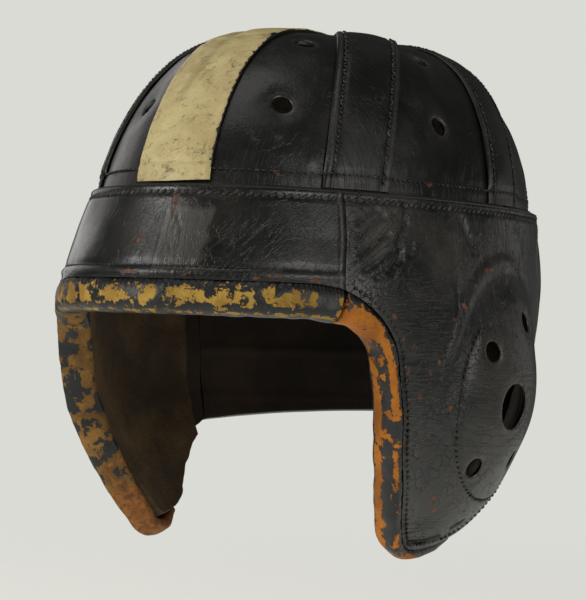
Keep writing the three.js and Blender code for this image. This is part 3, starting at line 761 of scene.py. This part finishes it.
def ear_swelling(y, z):
    return EAR_RISE * max(1 - ear_oval(y, z) ** 2, 0.0) ** EAR_POWER


def ear_skin(turn, z):
    point, normal = wall_point(turn, z)
    return point + normal * ear_swelling(point.y, z)


def ear_point(y, z):
    """Outer face of the ear dome at a place seen from the side, and the way out of it."""
    turn = math.pi / 2
    for _ in range(8):
        turn += (y - wall_skin(turn, z).y) / EAR_RADIUS
    return ear_skin(turn, z), normal_of(ear_skin, turn, z, 1e-3, 0.1)


def patch(front, rear, top, bottom):
    """Place inside a piece of wall whose four sides are functions that give a turn and a height."""
    corners = list(zip(front(0), rear(0), front(1), rear(1)))

    def place(across, down):
        sides = zip(front(down), rear(down), top(across), bottom(across), corners)
        return [lerp(a, b, across) + lerp(c, d, down)
                - lerp(lerp(*four[:2], across), lerp(*four[2:], across), down)
                for a, b, c, d, four in sides]

    return place


def near_line(line, x, y):
    """Distance from a place to a broken line on the flat pattern."""
    best = 1e9
    for (ax, ay), (bx, by) in zip(line, line[1:]):
        share = ((x - ax) * (bx - ax) + (y - ay) * (by - ay)) / ((bx - ax) ** 2 + (by - ay) ** 2)
        share = min(max(share, 0), 1)
        best = min(best, math.hypot(x - lerp(ax, bx, share), y - lerp(ay, by, share)))
    return best


def along_brim(first, last, share):
    """Turn and height of the brim between two of its rows."""
    return brim_at(round(lerp(first, last, share), 5))[:2]


def panel_patch():
    seam = brim_at(BAND_END)[0] + GAP / 2 / TEMPLE_RADIUS
    seam_foot = brim_at(BAND_END)[1]
    rear_turn = math.radians(NAPE_EDGE) - GAP / 2 / NAPE_RADIUS
    rear_foot = BRIM["z"][-1]
    seam_share = 0.24

    def front(down):
        if down < seam_share:
            return seam, seam_foot * down / seam_share
        turn, z = along_brim(BAND_END, FLAP_TIP, (down - seam_share) / (1 - seam_share))
        return max(turn, seam), z

    def bottom(across):
        turn, z = along_brim(FLAP_TIP, BRIM_END, across)
        return min(turn, rear_turn), z

    return patch(front, lambda down: (rear_turn, rear_foot * down),
                 lambda across: (lerp(seam, rear_turn, across), 0.0), bottom)


PANEL = panel_patch()


@lru_cache(maxsize=None)
def panel_point(across, down):
    turn, z = PANEL(across, down)
    return ear_skin(turn, z), normal_of(ear_skin, turn, z, 2e-3, 0.2), turn, z


def panel_place(side):
    def place(across, down):
        point, normal, turn, z = panel_point(round(across, 5), round(down, 5))
        return point, normal, Vector((turn * PATTERN_RADIUS * side, z))

    return handed(place, side)


def panel_relief(side):
    """The dome's arch, the sewn loop, the folds of the flap, and the wear on what stands proud.
    Three patches are painted sheen, the holes' rims a painted highlight, and folds and seams
    painted shade.
    """
    folds = [([(math.radians(turn) * PATTERN_RADIUS, z) for turn, z in line], width, height)
             for line, width, height in CREASES]

    def relief(point, flat):
        x, z = abs(flat.x), flat.y
        y = point.y

        def blot(middle_x, reach_x, middle_z, reach_z):
            return bump_at(x - middle_x, reach_x) * bump_at(z - middle_z, reach_z)

        oval = ear_oval(y, z)
        front_of_ear = ease(18, -2, y) * ease(-96, -58, z)
        arch = bump_at((oval - 1.0) * 55, 3.8) * front_of_ear
        inner = bump_at((oval - 0.86) * 55, 7.0) * front_of_ear
        loop = math.hypot((y - LOOP_Y) / LOOP_REACH, (z - LOOP_Z) / LOOP_DROP)
        sewn = bump_at((loop - 1) * LOOP_DROP, 1.5) * ease(-46, -56, z)
        proud = 0.95 * arch - 0.5 * inner - 0.55 * sewn
        crease_shade = 0.3 * sewn + 0.4 * inner
        # Grey on the arch is rubbed paint; the patches inside the foot of the loop, high on the
        # panel's front and along the flap's foot are painted sheen.
        edge = 0.4 * arch + 0.4 * bump_at((loop - 0.72) * LOOP_DROP, 13) * ease(-100, -116, z)
        edge += 0.75 * blot(105, 17, -19, 21) + 0.12 * ease(-112, -126, z)
        for line, width, height in folds:
            fold = bump_at(near_line(line, x, z), width)
            proud += height * fold
            crease_shade += 0.9 * fold if height < 0 else 0.0
            edge += 0.5 * fold if height > 0 else 0.0
        waved = noise.noise(Vector((x * 0.06, z * 0.3, side))) * blot(122, 16, -52, 22)
        across, along = x * 0.66 - z * 0.75, x * 0.75 + z * 0.66
        drawn = noise.noise(Vector((along * 0.04, across * 0.2, 2 + side)))
        drawn *= blot(106, 22, -20, 22) + 0.6 * blot(132, 18, -78, 28)
        proud += 0.7 * waved + 0.4 * drawn + noise.noise(point * 0.045) * 0.6 * ease(0, -8, z)
        top = ease(-1.3, 0, z)
        cord = bump_at(z - SEAM_CORD, 1.9)
        proud -= 0.7 * top + 0.5 * cord
        # Each hole's rim is lightened as a painted highlight.
        for hole_y, hole_z, radius in EAR_HOLES:
            dent = bump_at(math.hypot(y - hole_y, z - hole_z) - radius, 4.5)
            proud -= 0.45 * dent
            edge += 0.7 * dent
        scuffed = spot(point, Vector((x, z)), PANEL_SCUFFS if side > 0 else PANEL_SCUFFS[::3])
        star = bump_at(math.hypot(x - STAR[0], z - STAR[1]), 13)
        spoke = math.atan2(z - STAR[1], x - STAR[0])
        ray = star * ease(0.75, 0.97, abs(math.cos(spoke * 3.5 + 0.6 * noise.noise(point * 0.1))))
        proud += 0.25 * ray
        edge += 0.22 * ray
        sewn_front = bump_at((loop - 1) * LOOP_DROP, 1.3) * ease(-60, -78, z) * ease(-106, -90, z)
        edge += 0.45 * sewn_front * ease(20, 0, y)
        level = blot(124, 20, -50, 24) + 0.35 * ease(-60, -75, z) * ease(-112, -95, z)
        level += 0.7 * ease(-127, -133, z) * ease(165, 150, x)
        upright = ease(142, 152, x) * ease(-66, -52, z) + 0.3 * star
        slanted = blot(108, 20, -22, 22) + blot(132, 16, -78, 26)
        slanted += 0.7 * bump_at(z + 114, 14) * ease(150, 138, x)
        return (proud, min(crease_shade + 0.35 * cord, 1.0), scuffed, min(edge, 1.0),
                0.9 * min(level, 1.0), 0.8 * upright, 0.8 * min(slanted, 1.0))

    return relief


panel_leather = black_leather("black_painted_flap_leather", 1.0, 0.36, "#302e28", 0.0006)
for side, hand in SIDES_OF_HEAD:
    panel = lay(132, 176, panel_place(side), panel_relief(side))
    for y, z, radius in EAR_HOLES:
        punch(panel, *handed(ear_point, side)(y, z), radius)
    finish_leather(f"side_panel_{hand}", panel, LEATHER, [panel_leather, flesh_leather])


# Nape panel: a padded leather over the back of the head, from ear panel to ear panel, softly
# swollen by the felt behind it.
NAPE_TOP, NAPE_BOTTOM, NAPE_RAMP, NAPE_RISE = -8, -66, 7, 2.4
NAPE_FOOT_SIDE, NAPE_FOOT_MIDDLE = -101, -95


def nape_swelling(turn, z):
    """turn runs from one panel's edge round the back to the other's."""
    low, high = math.radians(NAPE_EDGE), math.radians(360 - NAPE_EDGE)
    ramp = math.radians(NAPE_RAMP)
    round_the_back = ease(low, low + ramp, turn) * ease(high, high - ramp, turn)
    height = (NAPE_TOP - z) / (NAPE_TOP - NAPE_BOTTOM)
    return NAPE_RISE * round_the_back * math.sin(math.pi * height**0.75) if 0 < height < 1 else 0.0


def nape_place(across, down):
    edge = math.radians(NAPE_EDGE) + GAP / 2 / NAPE_RADIUS
    turn = lerp(edge, 2 * math.pi - edge, across)
    z = lerp(NAPE_FOOT_SIDE, NAPE_FOOT_MIDDLE, math.sin(across * math.pi)) * down
    point, normal = wall_point(turn, round(z, 3))
    flat = Vector(((turn - math.pi) * PATTERN_RADIUS, z))
    return point + normal * nape_swelling(turn, z), normal, flat


def nape_relief(point, flat):
    top = ease(-1.3, 0, flat.y)
    cord = bump_at(flat.y - SEAM_CORD, 1.9)
    quilt = bump_at(flat.y + 67, 2.2)
    foot = bump_at(flat.y + 90, 1.6)
    side = math.radians(180 - NAPE_EDGE) * PATTERN_RADIUS - abs(flat.x)
    lip = bump_at(side - 2, 2)
    proud = 0.5 * lip - 0.7 * top - 0.5 * cord - 0.7 * quilt - 0.4 * foot
    proud += noise.noise(point * 0.05) * 0.6 * ease(0, -8, flat.y)
    wrinkled = ease(0.0, 0.4, noise.noise(point * 0.03))
    return (proud, 0.35 * cord + 0.5 * quilt + 0.4 * foot, 0.0, 0.7 * lip, 0.5 * wrinkled,
            0.5 * (1 - wrinkled) * ease(-8, -20, flat.y), 0.0)


nape = lay(170, 62, nape_place, nape_relief)
finish_leather("nape_panel", nape, LEATHER, [panel_leather, flesh_leather])


# Padded rolls: felt rolled in thin ochre leather and sewn to the edge all round the face. The
# black paint has worn off what touches and rubs: patches on the brow, and both corners of the
# cheek flaps.
ROLL_END = 14
ROLL_SQUARE = 2.6
ROLL_TUCK = 0.7
# Bare patches of the brow roll: turn, place round the section (0 faces out, 0.5 down, 1 in), half
# width in mm and half height in the same shares.
BROW_WEAR = ((-44, 0.08, 4, 0.1), (-37, 0.02, 9, 0.15), (-27, 0.0, 11, 0.2), (-20, 0.0, 9, 0.18),
             (-9, 0.0, 14, 0.17), (2, 0.0, 9, 0.17), (7.5, -0.03, 5, 0.12), (14.5, -0.02, 4, 0.08),
             (19.6, 0.03, 5, 0.3), (23.2, 0.0, 2.4, 0.12), (26.4, 0.06, 2.6, 0.2),
             (30.5, -0.03, 4.5, 0.16), (35.5, -0.02, 7.5, 0.17), (39.5, 0.0, 2.5, 0.14),
             (46.5, 0.1, 4, 0.26), (43.5, 0.3, 5, 0.06))


@lru_cache(maxsize=None)
def roll_frame(row):
    """Where the roll's section stands: the leather's edge, the way past it, the way out, and its
    sizes."""
    turn, z, reach, proud, depth = brim_at(row)
    ahead, behind = (wall_skin(*brim_at(round(row + step, 5))[:2]) for step in (0.02, -0.02))
    along = (ahead - behind).normalized()
    origin, outward = wall_point(turn, z)
    return origin, along.cross(outward).normalized(), outward, reach, (proud + depth) / 2, proud


def roll_point(row, around):
    """Point of the roll's skin and the way out. around is 0 on the face that looks outwards, 0.5 on
    the one that looks away from the leather, 1 inside and 1.5 against the leather's edge."""
    origin, away, outward, reach, half, proud = roll_frame(row)
    angle = math.pi * (0.5 - around)
    out, up = (math.copysign(abs(way) ** (2 / ROLL_SQUARE), way)
               for way in (math.cos(angle), math.sin(angle)))
    past_edge = (0.55 + out * (0.45 if out > 0 else 0.55)) * (reach + ROLL_TUCK) - ROLL_TUCK
    skin = origin + away * past_edge + outward * (proud - half + up * half)
    return skin, (away * out + outward * up).normalized()


def brow_wear(row, around, point):
    turn = math.degrees(brim_at(row)[0])
    wander = noise.fractal(Vector((turn * 0.34, around * 9, 0)), 1.0, 2.0, 4) * 0.6
    share = 0.0
    for place, middle, half_width, half_height in BROW_WEAR:
        away = math.hypot((turn - place) * 2.3 / half_width, (around - middle) / half_height)
        share = max(share, 1.2 - away + wander)
    streak = 0.42 + 0.5 * noise.noise(Vector((turn * 0.13, 0, 4))) + wander
    streak *= bump_at(around, 0.34) * ease(44, 36, turn) * ease(-45, -38, turn)
    low_edge = bump_at(around - 0.36, 0.16) * (0.5 + wander)
    return min(max(share, streak, low_edge, 0.0), 1.0)


# How bare the near flap's outer and inner ridges are, at rows of the brim's table.
RIDGE_ROWS = (5, 6.3, 7.6, 8.3, 8.8, 9.3, 9.8, 10.4, 10.9, 11.4, 11.9, 13)
OUTER_WEAR = (1.1, 1.15, 1.1, 0.9, 0.05, 0.55, 0.75, 0.1, 0.05, 0.7, 0.15, 0.2)
INNER_WEAR = (0.6, 0.5, 0.75, 1.05, 1.1, 1.0, 1.05, 1.1, 1.05, 1.1, 0.9, 0.6)


def flap_wear(side):
    def worn(row, around, point):
        row = abs(row)
        wander = noise.fractal(point * 0.16 + Vector((side * 9, 0, 0)), 1.0, 2.0, 4)
        along = min(max(row, RIDGE_ROWS[0]), RIDGE_ROWS[-1])
        inner = bump_at(around - 0.62, 0.19) * between(RIDGE_ROWS, INNER_WEAR, along)
        outer = bump_at(around - 0.14, 0.22) * between(RIDGE_ROWS, OUTER_WEAR, along)
        corner = bump_at(row - 5.6, 1.5) * ease(-0.25, 0.1, around)
        tip = bump_at(row - 12.3, 0.7) * ease(-0.2, 0.1, around)
        middle = 0.9 * bump_at(around - 0.38, 0.2) * ease(0.25, 0.6, wander)
        share = max(inner * 1.2, outer * 1.25, corner * 1.2, tip * 0.95, middle) + 0.35 * wander
        if side < 0:
            share = 0.5 + 1.1 * wander + 0.25 * inner
            tip = ease(9.9, 10.9, row + 0.8 * wander)
            return min(max(share, 0.9 * tip, 0.0), 1.0) + 0.4 * tip
        return min(max(share, 0.0), 1.0) * ease(ROLL_END + 0.3, ROLL_END - 1, row)

    return worn


def roll_piece(name, first, last, stations, worn, colours):
    """A tube of skin along the edge: one ring of corners, extruded from station to station and
    capped. It narrows at its ends."""
    corners = 40
    tube = bmesh.new()
    wear = tube.verts.layers.float.new("wear")
    pattern = tube.loops.layers.uv.new("laid")
    ring = bmesh.ops.create_circle(tube, segments=corners, radius=1)["verts"]
    edges = list(tube.edges)
    laid = {}
    for station in range(stations + 1):
        row = round(first + station * (last - first) / stations, 5)
        shrink = {0: 0.55, 1: 0.85}.get(min(station, stations - station), 1.0)
        middle = roll_point(row, 0.5)[0].lerp(roll_point(row, 1.5)[0], 0.5)
        for k, corner in enumerate(ring):
            around = 2 * k / corners - (2 if k > 0.75 * corners else 0)
            point, normal = roll_point(row, around)
            pucker = 0.25 * math.sin(station * 1.9) * bump_at(around + 0.25, 0.2)
            rub = worn(row, around, point)
            lump = noise.noise(point * 0.16) * 0.5 - 0.25 * rub - pucker
            corner.co = middle.lerp(point + normal * lump, shrink)
            corner[wear] = rub
            laid[corner] = (row * 0.021, around * 0.02)
        if station < stations:
            grown = bmesh.ops.extrude_edge_only(tube, edges=edges)["geom"]
            edges = [part for part in grown if isinstance(part, bmesh.types.BMEdge)
                     and all(v not in ring for v in part.verts)]
            new = [part for part in grown if isinstance(part, bmesh.types.BMVert)]
            partner = {edge.other_vert(part): part for part in new for edge in part.link_edges}
            ring = [partner[corner] for corner in ring]
    rims = [edge for edge in tube.edges if edge.is_boundary]
    bmesh.ops.holes_fill(tube, edges=rims, sides=corners)
    for face in tube.faces:
        for loop in face.loops:
            loop[pattern].uv = laid[loop.vert]
    bmesh.ops.recalc_face_normals(tube, faces=tube.faces)
    piece = make_piece(name + "_padding", tube, [colours], name)


# Rubbed roll leather: ochre to orange basil under blue-black paint that ends in sharp flakes, with
# crumbs of paint left in the bare patches and grease darkening the rest.
def rubbed_roll(name, low, high):
    material, add = new_material(name)
    body = add("TexCoord", {}, out="Object")
    wear = add("Attribute", {}, out="Fac", attribute_name="wear")
    cloud = add("TexNoise", {"Vector": body, "Scale": 60.0, "Detail": 4.0, "Roughness": 0.6})
    speck = add("TexNoise", {"Vector": body, "Scale": 900.0, "Detail": 3.0, "Roughness": 0.7})
    flake = add("TexNoise", {"Vector": body, "Scale": 290.0, "Detail": 7.0, "Roughness": 0.68,
                             "Distortion": 0.8})
    pores = add("TexVoronoi", {"Vector": body, "Scale": 900.0})
    ragged = heap(add, (wear, 1), (flake, 3.1), (speck, 0.5))
    bare = add("MapRange", {0: ragged, 1: 2.25, 2: 2.31}, **SMOOTH)
    bright, crumbs, furred, worn_out, bluish = (
        add("MapRange", {0: pattern, 1: start, 2: end, 4: most}, **SMOOTH)
        for pattern, start, end, most in (
            (cloud, 0.35, 0.65, 1), (speck, 0.55, 0.68, 0.5), (flake, 0.35, 0.65, 1),
            (wear, 1.05, 1.3, 1), (cloud, 0.4, 0.7, 1)))
    fibre = coat(add, "#5f360f", (furred, "#8f5a24"))
    ochre = coat(add, low, (bright, high), (crumbs, "#3d260e"), (worn_out, fibre))
    colour = coat(add, "#101213", (bluish, "#202322"), (bare, ochre))
    rough = add("MapRange", {0: bare, 3: 0.45, 4: 0.8}, **SMOOTH)
    height = heap(add, (pores, 0.25), (bare, -0.6), (speck, 0.4), (cloud, 1))
    shade(add, {"Base Color": colour, "Roughness": rough, "IOR": 1.45}, height, 0.0003)
    return material


brow_ochre = rubbed_roll("ochre_roll_leather", "#86631f", "#b08c3a")
flap_orange = rubbed_roll("orange_roll_leather", "#8a4e0c", "#b36c14")
far_ochre = rubbed_roll("soiled_roll_leather", "#5e4218", "#8c662a")
ROW_LENGTH = 20
ROLL_GAP = GAP / 2 / ROW_LENGTH
roll_piece("brow_roll", -BAND_END + ROLL_GAP, BAND_END - ROLL_GAP, 220, brow_wear, brow_ochre)
for (side, hand), colours in zip(SIDES_OF_HEAD, (flap_orange, far_ochre)):
    roll_piece(f"flap_roll_{hand}", side * (BAND_END + ROLL_GAP), side * ROLL_END, 170,
               flap_wear(side), colours)


# Flap linings: a felt pad faced with thin brown leather, sewn inside each cheek flap. It is matt,
# soft at its edges and dark where it has been handled.
LINED_FROM, LINED_TO, LINING, LINING_INSET, LINING_MIDDLE = 5.5, 16, 8.7, 0.985, -85
LINING_GAP = LAID_GAP + 0.4


def lining_leather():
    material, add = new_material("brown_lining_leather")
    body = add("TexCoord", {}, out="Object")
    stain = add("TexNoise", {"Vector": body, "Scale": 30.0, "Detail": 5.0, "Roughness": 0.65})
    nap = add("TexNoise", {"Vector": body, "Scale": 500.0, "Detail": 5.0, "Roughness": 0.75})
    pores = add("TexVoronoi", {"Vector": body, "Scale": 700.0})
    stained = add("MapRange", {0: stain, 1: 0.35, 2: 0.68}, **SMOOTH)
    soiled = add("MapRange", {0: nap, 1: 0.5, 2: 0.75, 4: 0.5}, **SMOOTH)
    colour = coat(add, "#3a2b16", (stained, "#5e4828"), (soiled, "#1c130a"))
    height = heap(add, (nap, 1), (pores, 0.4))
    shade(add, {"Base Color": colour, "Roughness": 0.8, "IOR": 1.45}, height, 0.0003)
    return material


def lining_patch():
    front = partial(along_brim, LINED_FROM, FLAP_TIP)
    bottom = partial(along_brim, FLAP_TIP, LINED_TO)
    front_turn, top_z = front(0)
    rear_turn, rear_foot = bottom(1)
    inner = patch(front, lambda down: (rear_turn, lerp(top_z, rear_foot, down)),
                  lambda across: (lerp(front_turn, rear_turn, across), top_z), bottom)
    middle = (front_turn + rear_turn) / 2

    def place(across, down):
        turn, z = inner(across, down)
        return lerp(middle, turn, LINING_INSET), lerp(LINING_MIDDLE, z, LINING_INSET)

    return place


LINED = lining_patch()


def lining_place(side):
    def place(across, down):
        turn, z = LINED(across, down)
        point, normal = wall_point(turn, z)
        point -= normal * (LEATHER + LINING_GAP)
        return point, normal, Vector((turn * PATTERN_RADIUS * side, z))

    return handed(place, side)


def lining_relief(point, flat):
    return noise.noise(point * 0.08) * 0.6 + noise.noise(point * 0.25) * 0.2, 0, 0, 0


lining_skin = lining_leather()
for side, hand in SIDES_OF_HEAD:
    lining = lay(54, 70, lining_place(side), lining_relief)
    pad = finish_leather(f"flap_lining_{hand}", lining, LINING, [lining_skin, lining_skin],
                         2.2)


# Sewing: waxed thread painted over with the leather. Every stitch is a small worn bead along its
# row, and the seam of crown and band is overcast with heavy thread that looks like a cord.
def sew(name, rows, zigzag=False):
    """One mesh of stitches. A row is a list of points and ways out, with a stitch's length, its
    width and its slant across the row in radians."""
    mesh = bpy.data.meshes.new(name + "_thread")
    whole = bmesh.new()
    for line, length, width, slant in rows:
        thread = bmesh.new()
        for k, ((point, normal), (ahead, _)) in enumerate(zip(line, line[1:])):
            if (ahead - point).length > 4 * length:
                continue
            along = (ahead - point).normalized()
            along.rotate(Matrix.Rotation(slant if k % 2 or not zigzag else -slant, 3, normal))
            side = normal.cross(along).normalized()
            turn = Matrix((along, side, along.cross(side))).transposed().to_4x4()
            jitter = noise.noise(point * 1.7)
            size = Matrix.Diagonal((length / 2 * (1 + 0.15 * jitter), width / 2, width / 2.4, 1))
            place = Matrix.Translation(point + normal * width * 0.12 * jitter)
            bmesh.ops.create_uvsphere(thread, u_segments=7, v_segments=5, radius=1,
                                      matrix=place @ turn @ size)
        thread.to_mesh(mesh)
        thread.free()
        whole.from_mesh(mesh)
    bpy.data.meshes.remove(mesh)
    make_piece(name, whole, [black_thread])


def waxed_thread(name, colour, worn):
    material, add = new_material(name)
    body = add("TexCoord", {}, out="Object")
    rub = add("TexNoise", {"Vector": body, "Scale": 300.0, "Detail": 3.0, "Roughness": 0.6})
    twist = add("TexNoise", {"Vector": body, "Scale": 2200.0, "Detail": 2.0})
    rubbed = add("MapRange", {0: rub, 1: 0.5, 2: 0.72}, **SMOOTH)
    tint = coat(add, colour, (rubbed, worn))
    shade(add, {"Base Color": tint, "Roughness": 0.5, "IOR": 1.5}, twist, 0.0002)
    return material


def row_of(place, step, start=0.0, end=1.0, probe=400):
    """Points a stitch apart along a path given by a function of 0 to 1."""
    line = [place(start)]
    for k in range(1, probe + 1):
        candidate = place(lerp(start, end, k / probe))
        if (candidate[0] - line[-1][0]).length >= step:
            line.append(candidate)
    return line


THREAD_FROM = 18
ON_STRAP = LAID_GAP + STRAP - SUNK


def on_crown(angle, aside, side, lift):
    """Path down the crown beside a strap's line."""
    def path(share):
        distance = lerp(THREAD_FROM, reach_to_seam(angle, aside), math.sin(share * math.pi / 2))
        point, normal = crown_point(*from_crossing(angle, distance, aside))
        return point + normal * lift, normal

    return handed(path, side)


black_thread = waxed_thread("black_waxed_thread", "#100f0d", "#4d4a41")
strap_rows = []
for strap_name, degrees in STRAP_LINES.items():
    start = 0.16 if strap_name == "cross_strap" else 0.3
    for side in (1, -1):
        for aside in (-SIDE_HALF_WIDTH + SEWN_IN, SIDE_HALF_WIDTH - SEWN_IN):
            path = on_crown(math.radians(degrees), aside, side, ON_STRAP - 0.15)
            strap_rows.append((row_of(path, 2.1, start, 0.97), 2.5, 1.05, 0.6))
sew("strap_stitches", strap_rows, zigzag=True)


def hem_path(share):
    """Round the crown just above the band, on the gores."""
    turn = lerp(-math.pi, math.pi, share)
    width = 1.0
    for _ in range(12):
        x = HALF_WIDTH * width * math.sin(turn) * (1 - EGG * math.cos(turn) * width)
        y = -HALF_LENGTH * width * math.cos(turn)
        point, normal = crown_point(x, y)
        width *= 1 + (point.z - HEM) * 0.0006
    angle = math.degrees(abs(math.atan2(x, CROSSING_Y - y)))
    far = math.hypot(x, CROSSING_Y - y)
    over = any(abs(math.sin(math.radians(angle - line))) * far < SIDE_HALF_WIDTH
               for line in STRAP_LINES.values())
    if abs(x) < CENTRE_HALF_WIDTH:
        return point - normal * 3, normal
    return point + normal * ((ON_STRAP - 0.3) if over else 0.25), normal


sew("hem_stitches", [(row_of(hem_path, 2.7, probe=2400), 2.0, 1.05, 0.0)])


def cord_path(share):
    """The overcast seam under the top edge of band and panels."""
    turn = lerp(-math.pi, math.pi, share)
    point, normal = wall_point(turn, SEAM_CORD)
    return point - normal * 0.45, normal


sew("crown_seam_cord", [(row_of(cord_path, 3.0, probe=2400), 3.9, 1.7, 0.62)])


def foot_path(height):
    def path(share):
        row = round(lerp(-BAND_END, BAND_END, share), 5)
        point, normal = wall_point(brim_at(row)[0], height)
        return point - normal * 0.2, normal

    return path


sew("band_foot_stitches", [(row_of(foot_path(z), 2.2, 0.01, 0.99, 1200), 1.9, 0.8, 0.0)
                           for z in (-32, -36)])


def flap_edge_path(share):
    """Just inside the edge of the flap, beside the roll."""
    row = round(lerp(BAND_END + 0.3, BRIM_END, share), 5)
    origin, away, outward, *_ = roll_frame(row)
    place = origin - away * 2.5
    return place + outward * (ear_swelling(place.y, place.z) + 0.15), outward


def loop_path(share):
    """The sewn loop inside the ear dome."""
    angle = lerp(-0.72 * math.pi, 0.72 * math.pi, share)
    y, z = LOOP_Y + LOOP_REACH * math.sin(angle), LOOP_Z - LOOP_DROP * math.cos(angle)
    point, normal = ear_point(y, z)
    return point - normal * 0.05, normal


panel_rows = []
for side in (1, -1):
    panel_rows.append((row_of(handed(flap_edge_path, side), 2.6, probe=1200), 1.9, 1.45, 0.0))
    panel_rows.append((row_of(handed(loop_path, side), 2.8, probe=900), 2.0, 1.1, 0.5))
sew("panel_stitches", panel_rows)


# Studio: the helmet is held up over a round sheet of pale paper that fades into a plain backdrop,
# with soft lights at both sides, behind and above, and the camera low in front of its left.
CAMERA_TURN, CAMERA_RISE, CAMERA_ROLL = math.radians(26.14), math.radians(-0.65), math.radians(1.93)
CAMERA_DISTANCE, CAMERA_SHIFT_X, CAMERA_SHIFT_Y = 856.62, 5.78, 42.03
PIXELS_PER_MM, IMAGE_HEIGHT, SENSOR = 2.26, 600, 36.0
FLOOR = -0.36

back = Vector((math.sin(CAMERA_TURN) * math.cos(CAMERA_RISE),
               -math.cos(CAMERA_TURN) * math.cos(CAMERA_RISE), math.sin(CAMERA_RISE)))
level_right = Vector((math.cos(CAMERA_TURN), math.sin(CAMERA_TURN), 0))
level_up = back.cross(level_right)
right = level_right * math.cos(CAMERA_ROLL) + level_up * math.sin(CAMERA_ROLL)
up = level_up * math.cos(CAMERA_ROLL) - level_right * math.sin(CAMERA_ROLL)
stand = HOME @ (back * CAMERA_DISTANCE - right * CAMERA_SHIFT_X - up * CAMERA_SHIFT_Y)
camera = bpy.data.objects.new("camera", bpy.data.cameras.new("camera"))
camera.matrix_world = Matrix.Translation(stand) @ Matrix((right, up, back)).transposed().to_4x4()
camera.data.sensor_width = SENSOR
camera.data.lens = PIXELS_PER_MM * CAMERA_DISTANCE * SENSOR / IMAGE_HEIGHT
camera.data.clip_start = 0.05
bpy.context.collection.objects.link(camera)
bpy.context.scene.camera = camera

# The paper fades out far from the helmet, so it has no edge against the plain backdrop.
PALE = "#dbdbd5"
pale, add = new_material("pale_paper")
far = add("VectorMath", {0: add("TexCoord", {}, out="Object"), 1: (1, 1, 0)}, operation="MULTIPLY")
far = add("VectorMath", {0: far}, out="Value", operation="LENGTH")
paper = add("BsdfPrincipled", {"Base Color": "#e4e4de", "Roughness": 0.9,
                               "Emission Color": "#fffff8", "Emission Strength": 0.4})
faded = add("MapRange", {0: far, 1: 0.35, 2: 1.5}, **SMOOTH)
paper = add("MixShader", {0: faded, 1: paper, 2: add("BsdfTransparent", {})})
add("OutputMaterial", {"Surface": paper})
spread_out = bmesh.new()
bmesh.ops.create_circle(spread_out, cap_ends=True, segments=64, radius=1.6,
                        matrix=Matrix.Translation((0, 0, FLOOR)))
paper_mesh = bpy.data.meshes.new("paper")
spread_out.to_mesh(paper_mesh)
spread_out.free()
paper_mesh.materials.append(pale)
floor = bpy.data.objects.new("floor", paper_mesh)
bpy.context.collection.objects.link(floor)

# Each light's name, place and size in metres, and power in watts.
AIM = Vector((0, 0, -0.08))
LIGHTS = (
    ("left_back_softbox", (-1.5, 1.0, 0.4), 1.3, 4),
    ("left_front_softbox", (-1.0, -1.75, 0.65), 1.3, 30),
    ("right_softbox", (1.75, -0.5, 0.4), 1.2, 14),
    ("right_back_softbox", (1.0, 1.6, -0.1), 1.0, 1.5),
    ("top_softbox", (0.0, -0.3, 1.9), 1.2, 5),
)
for name, place, size, power in LIGHTS:
    lamp = bpy.data.lights.new(name, "AREA")
    lamp.shape = "DISK"
    lamp.size = size
    lamp.energy = power
    lamp.color = (1.0, 0.985, 0.96)
    light = bpy.data.objects.new(name, lamp)
    light.location = place
    light.rotation_euler = (AIM - Vector(place)).to_track_quat("-Z", "Y").to_euler()
    bpy.context.collection.objects.link(light)

world = bpy.data.worlds.new("studio")
bpy.context.scene.world = world
world.use_nodes = True
world.node_tree.nodes.clear()
add = partial(node, world.node_tree)
seen = add("LightPath", {}, out="Is Camera Ray")
backdrop = add("Background", {"Color": PALE, "Strength": 1.0})
dim_room = add("Background", {"Color": "#c9c9c4", "Strength": 0.09})
add("OutputWorld", {"Surface": add("MixShader", {0: seen, 1: dim_room, 2: backdrop})})
bpy.context.scene.view_settings.view_transform = "Standard"
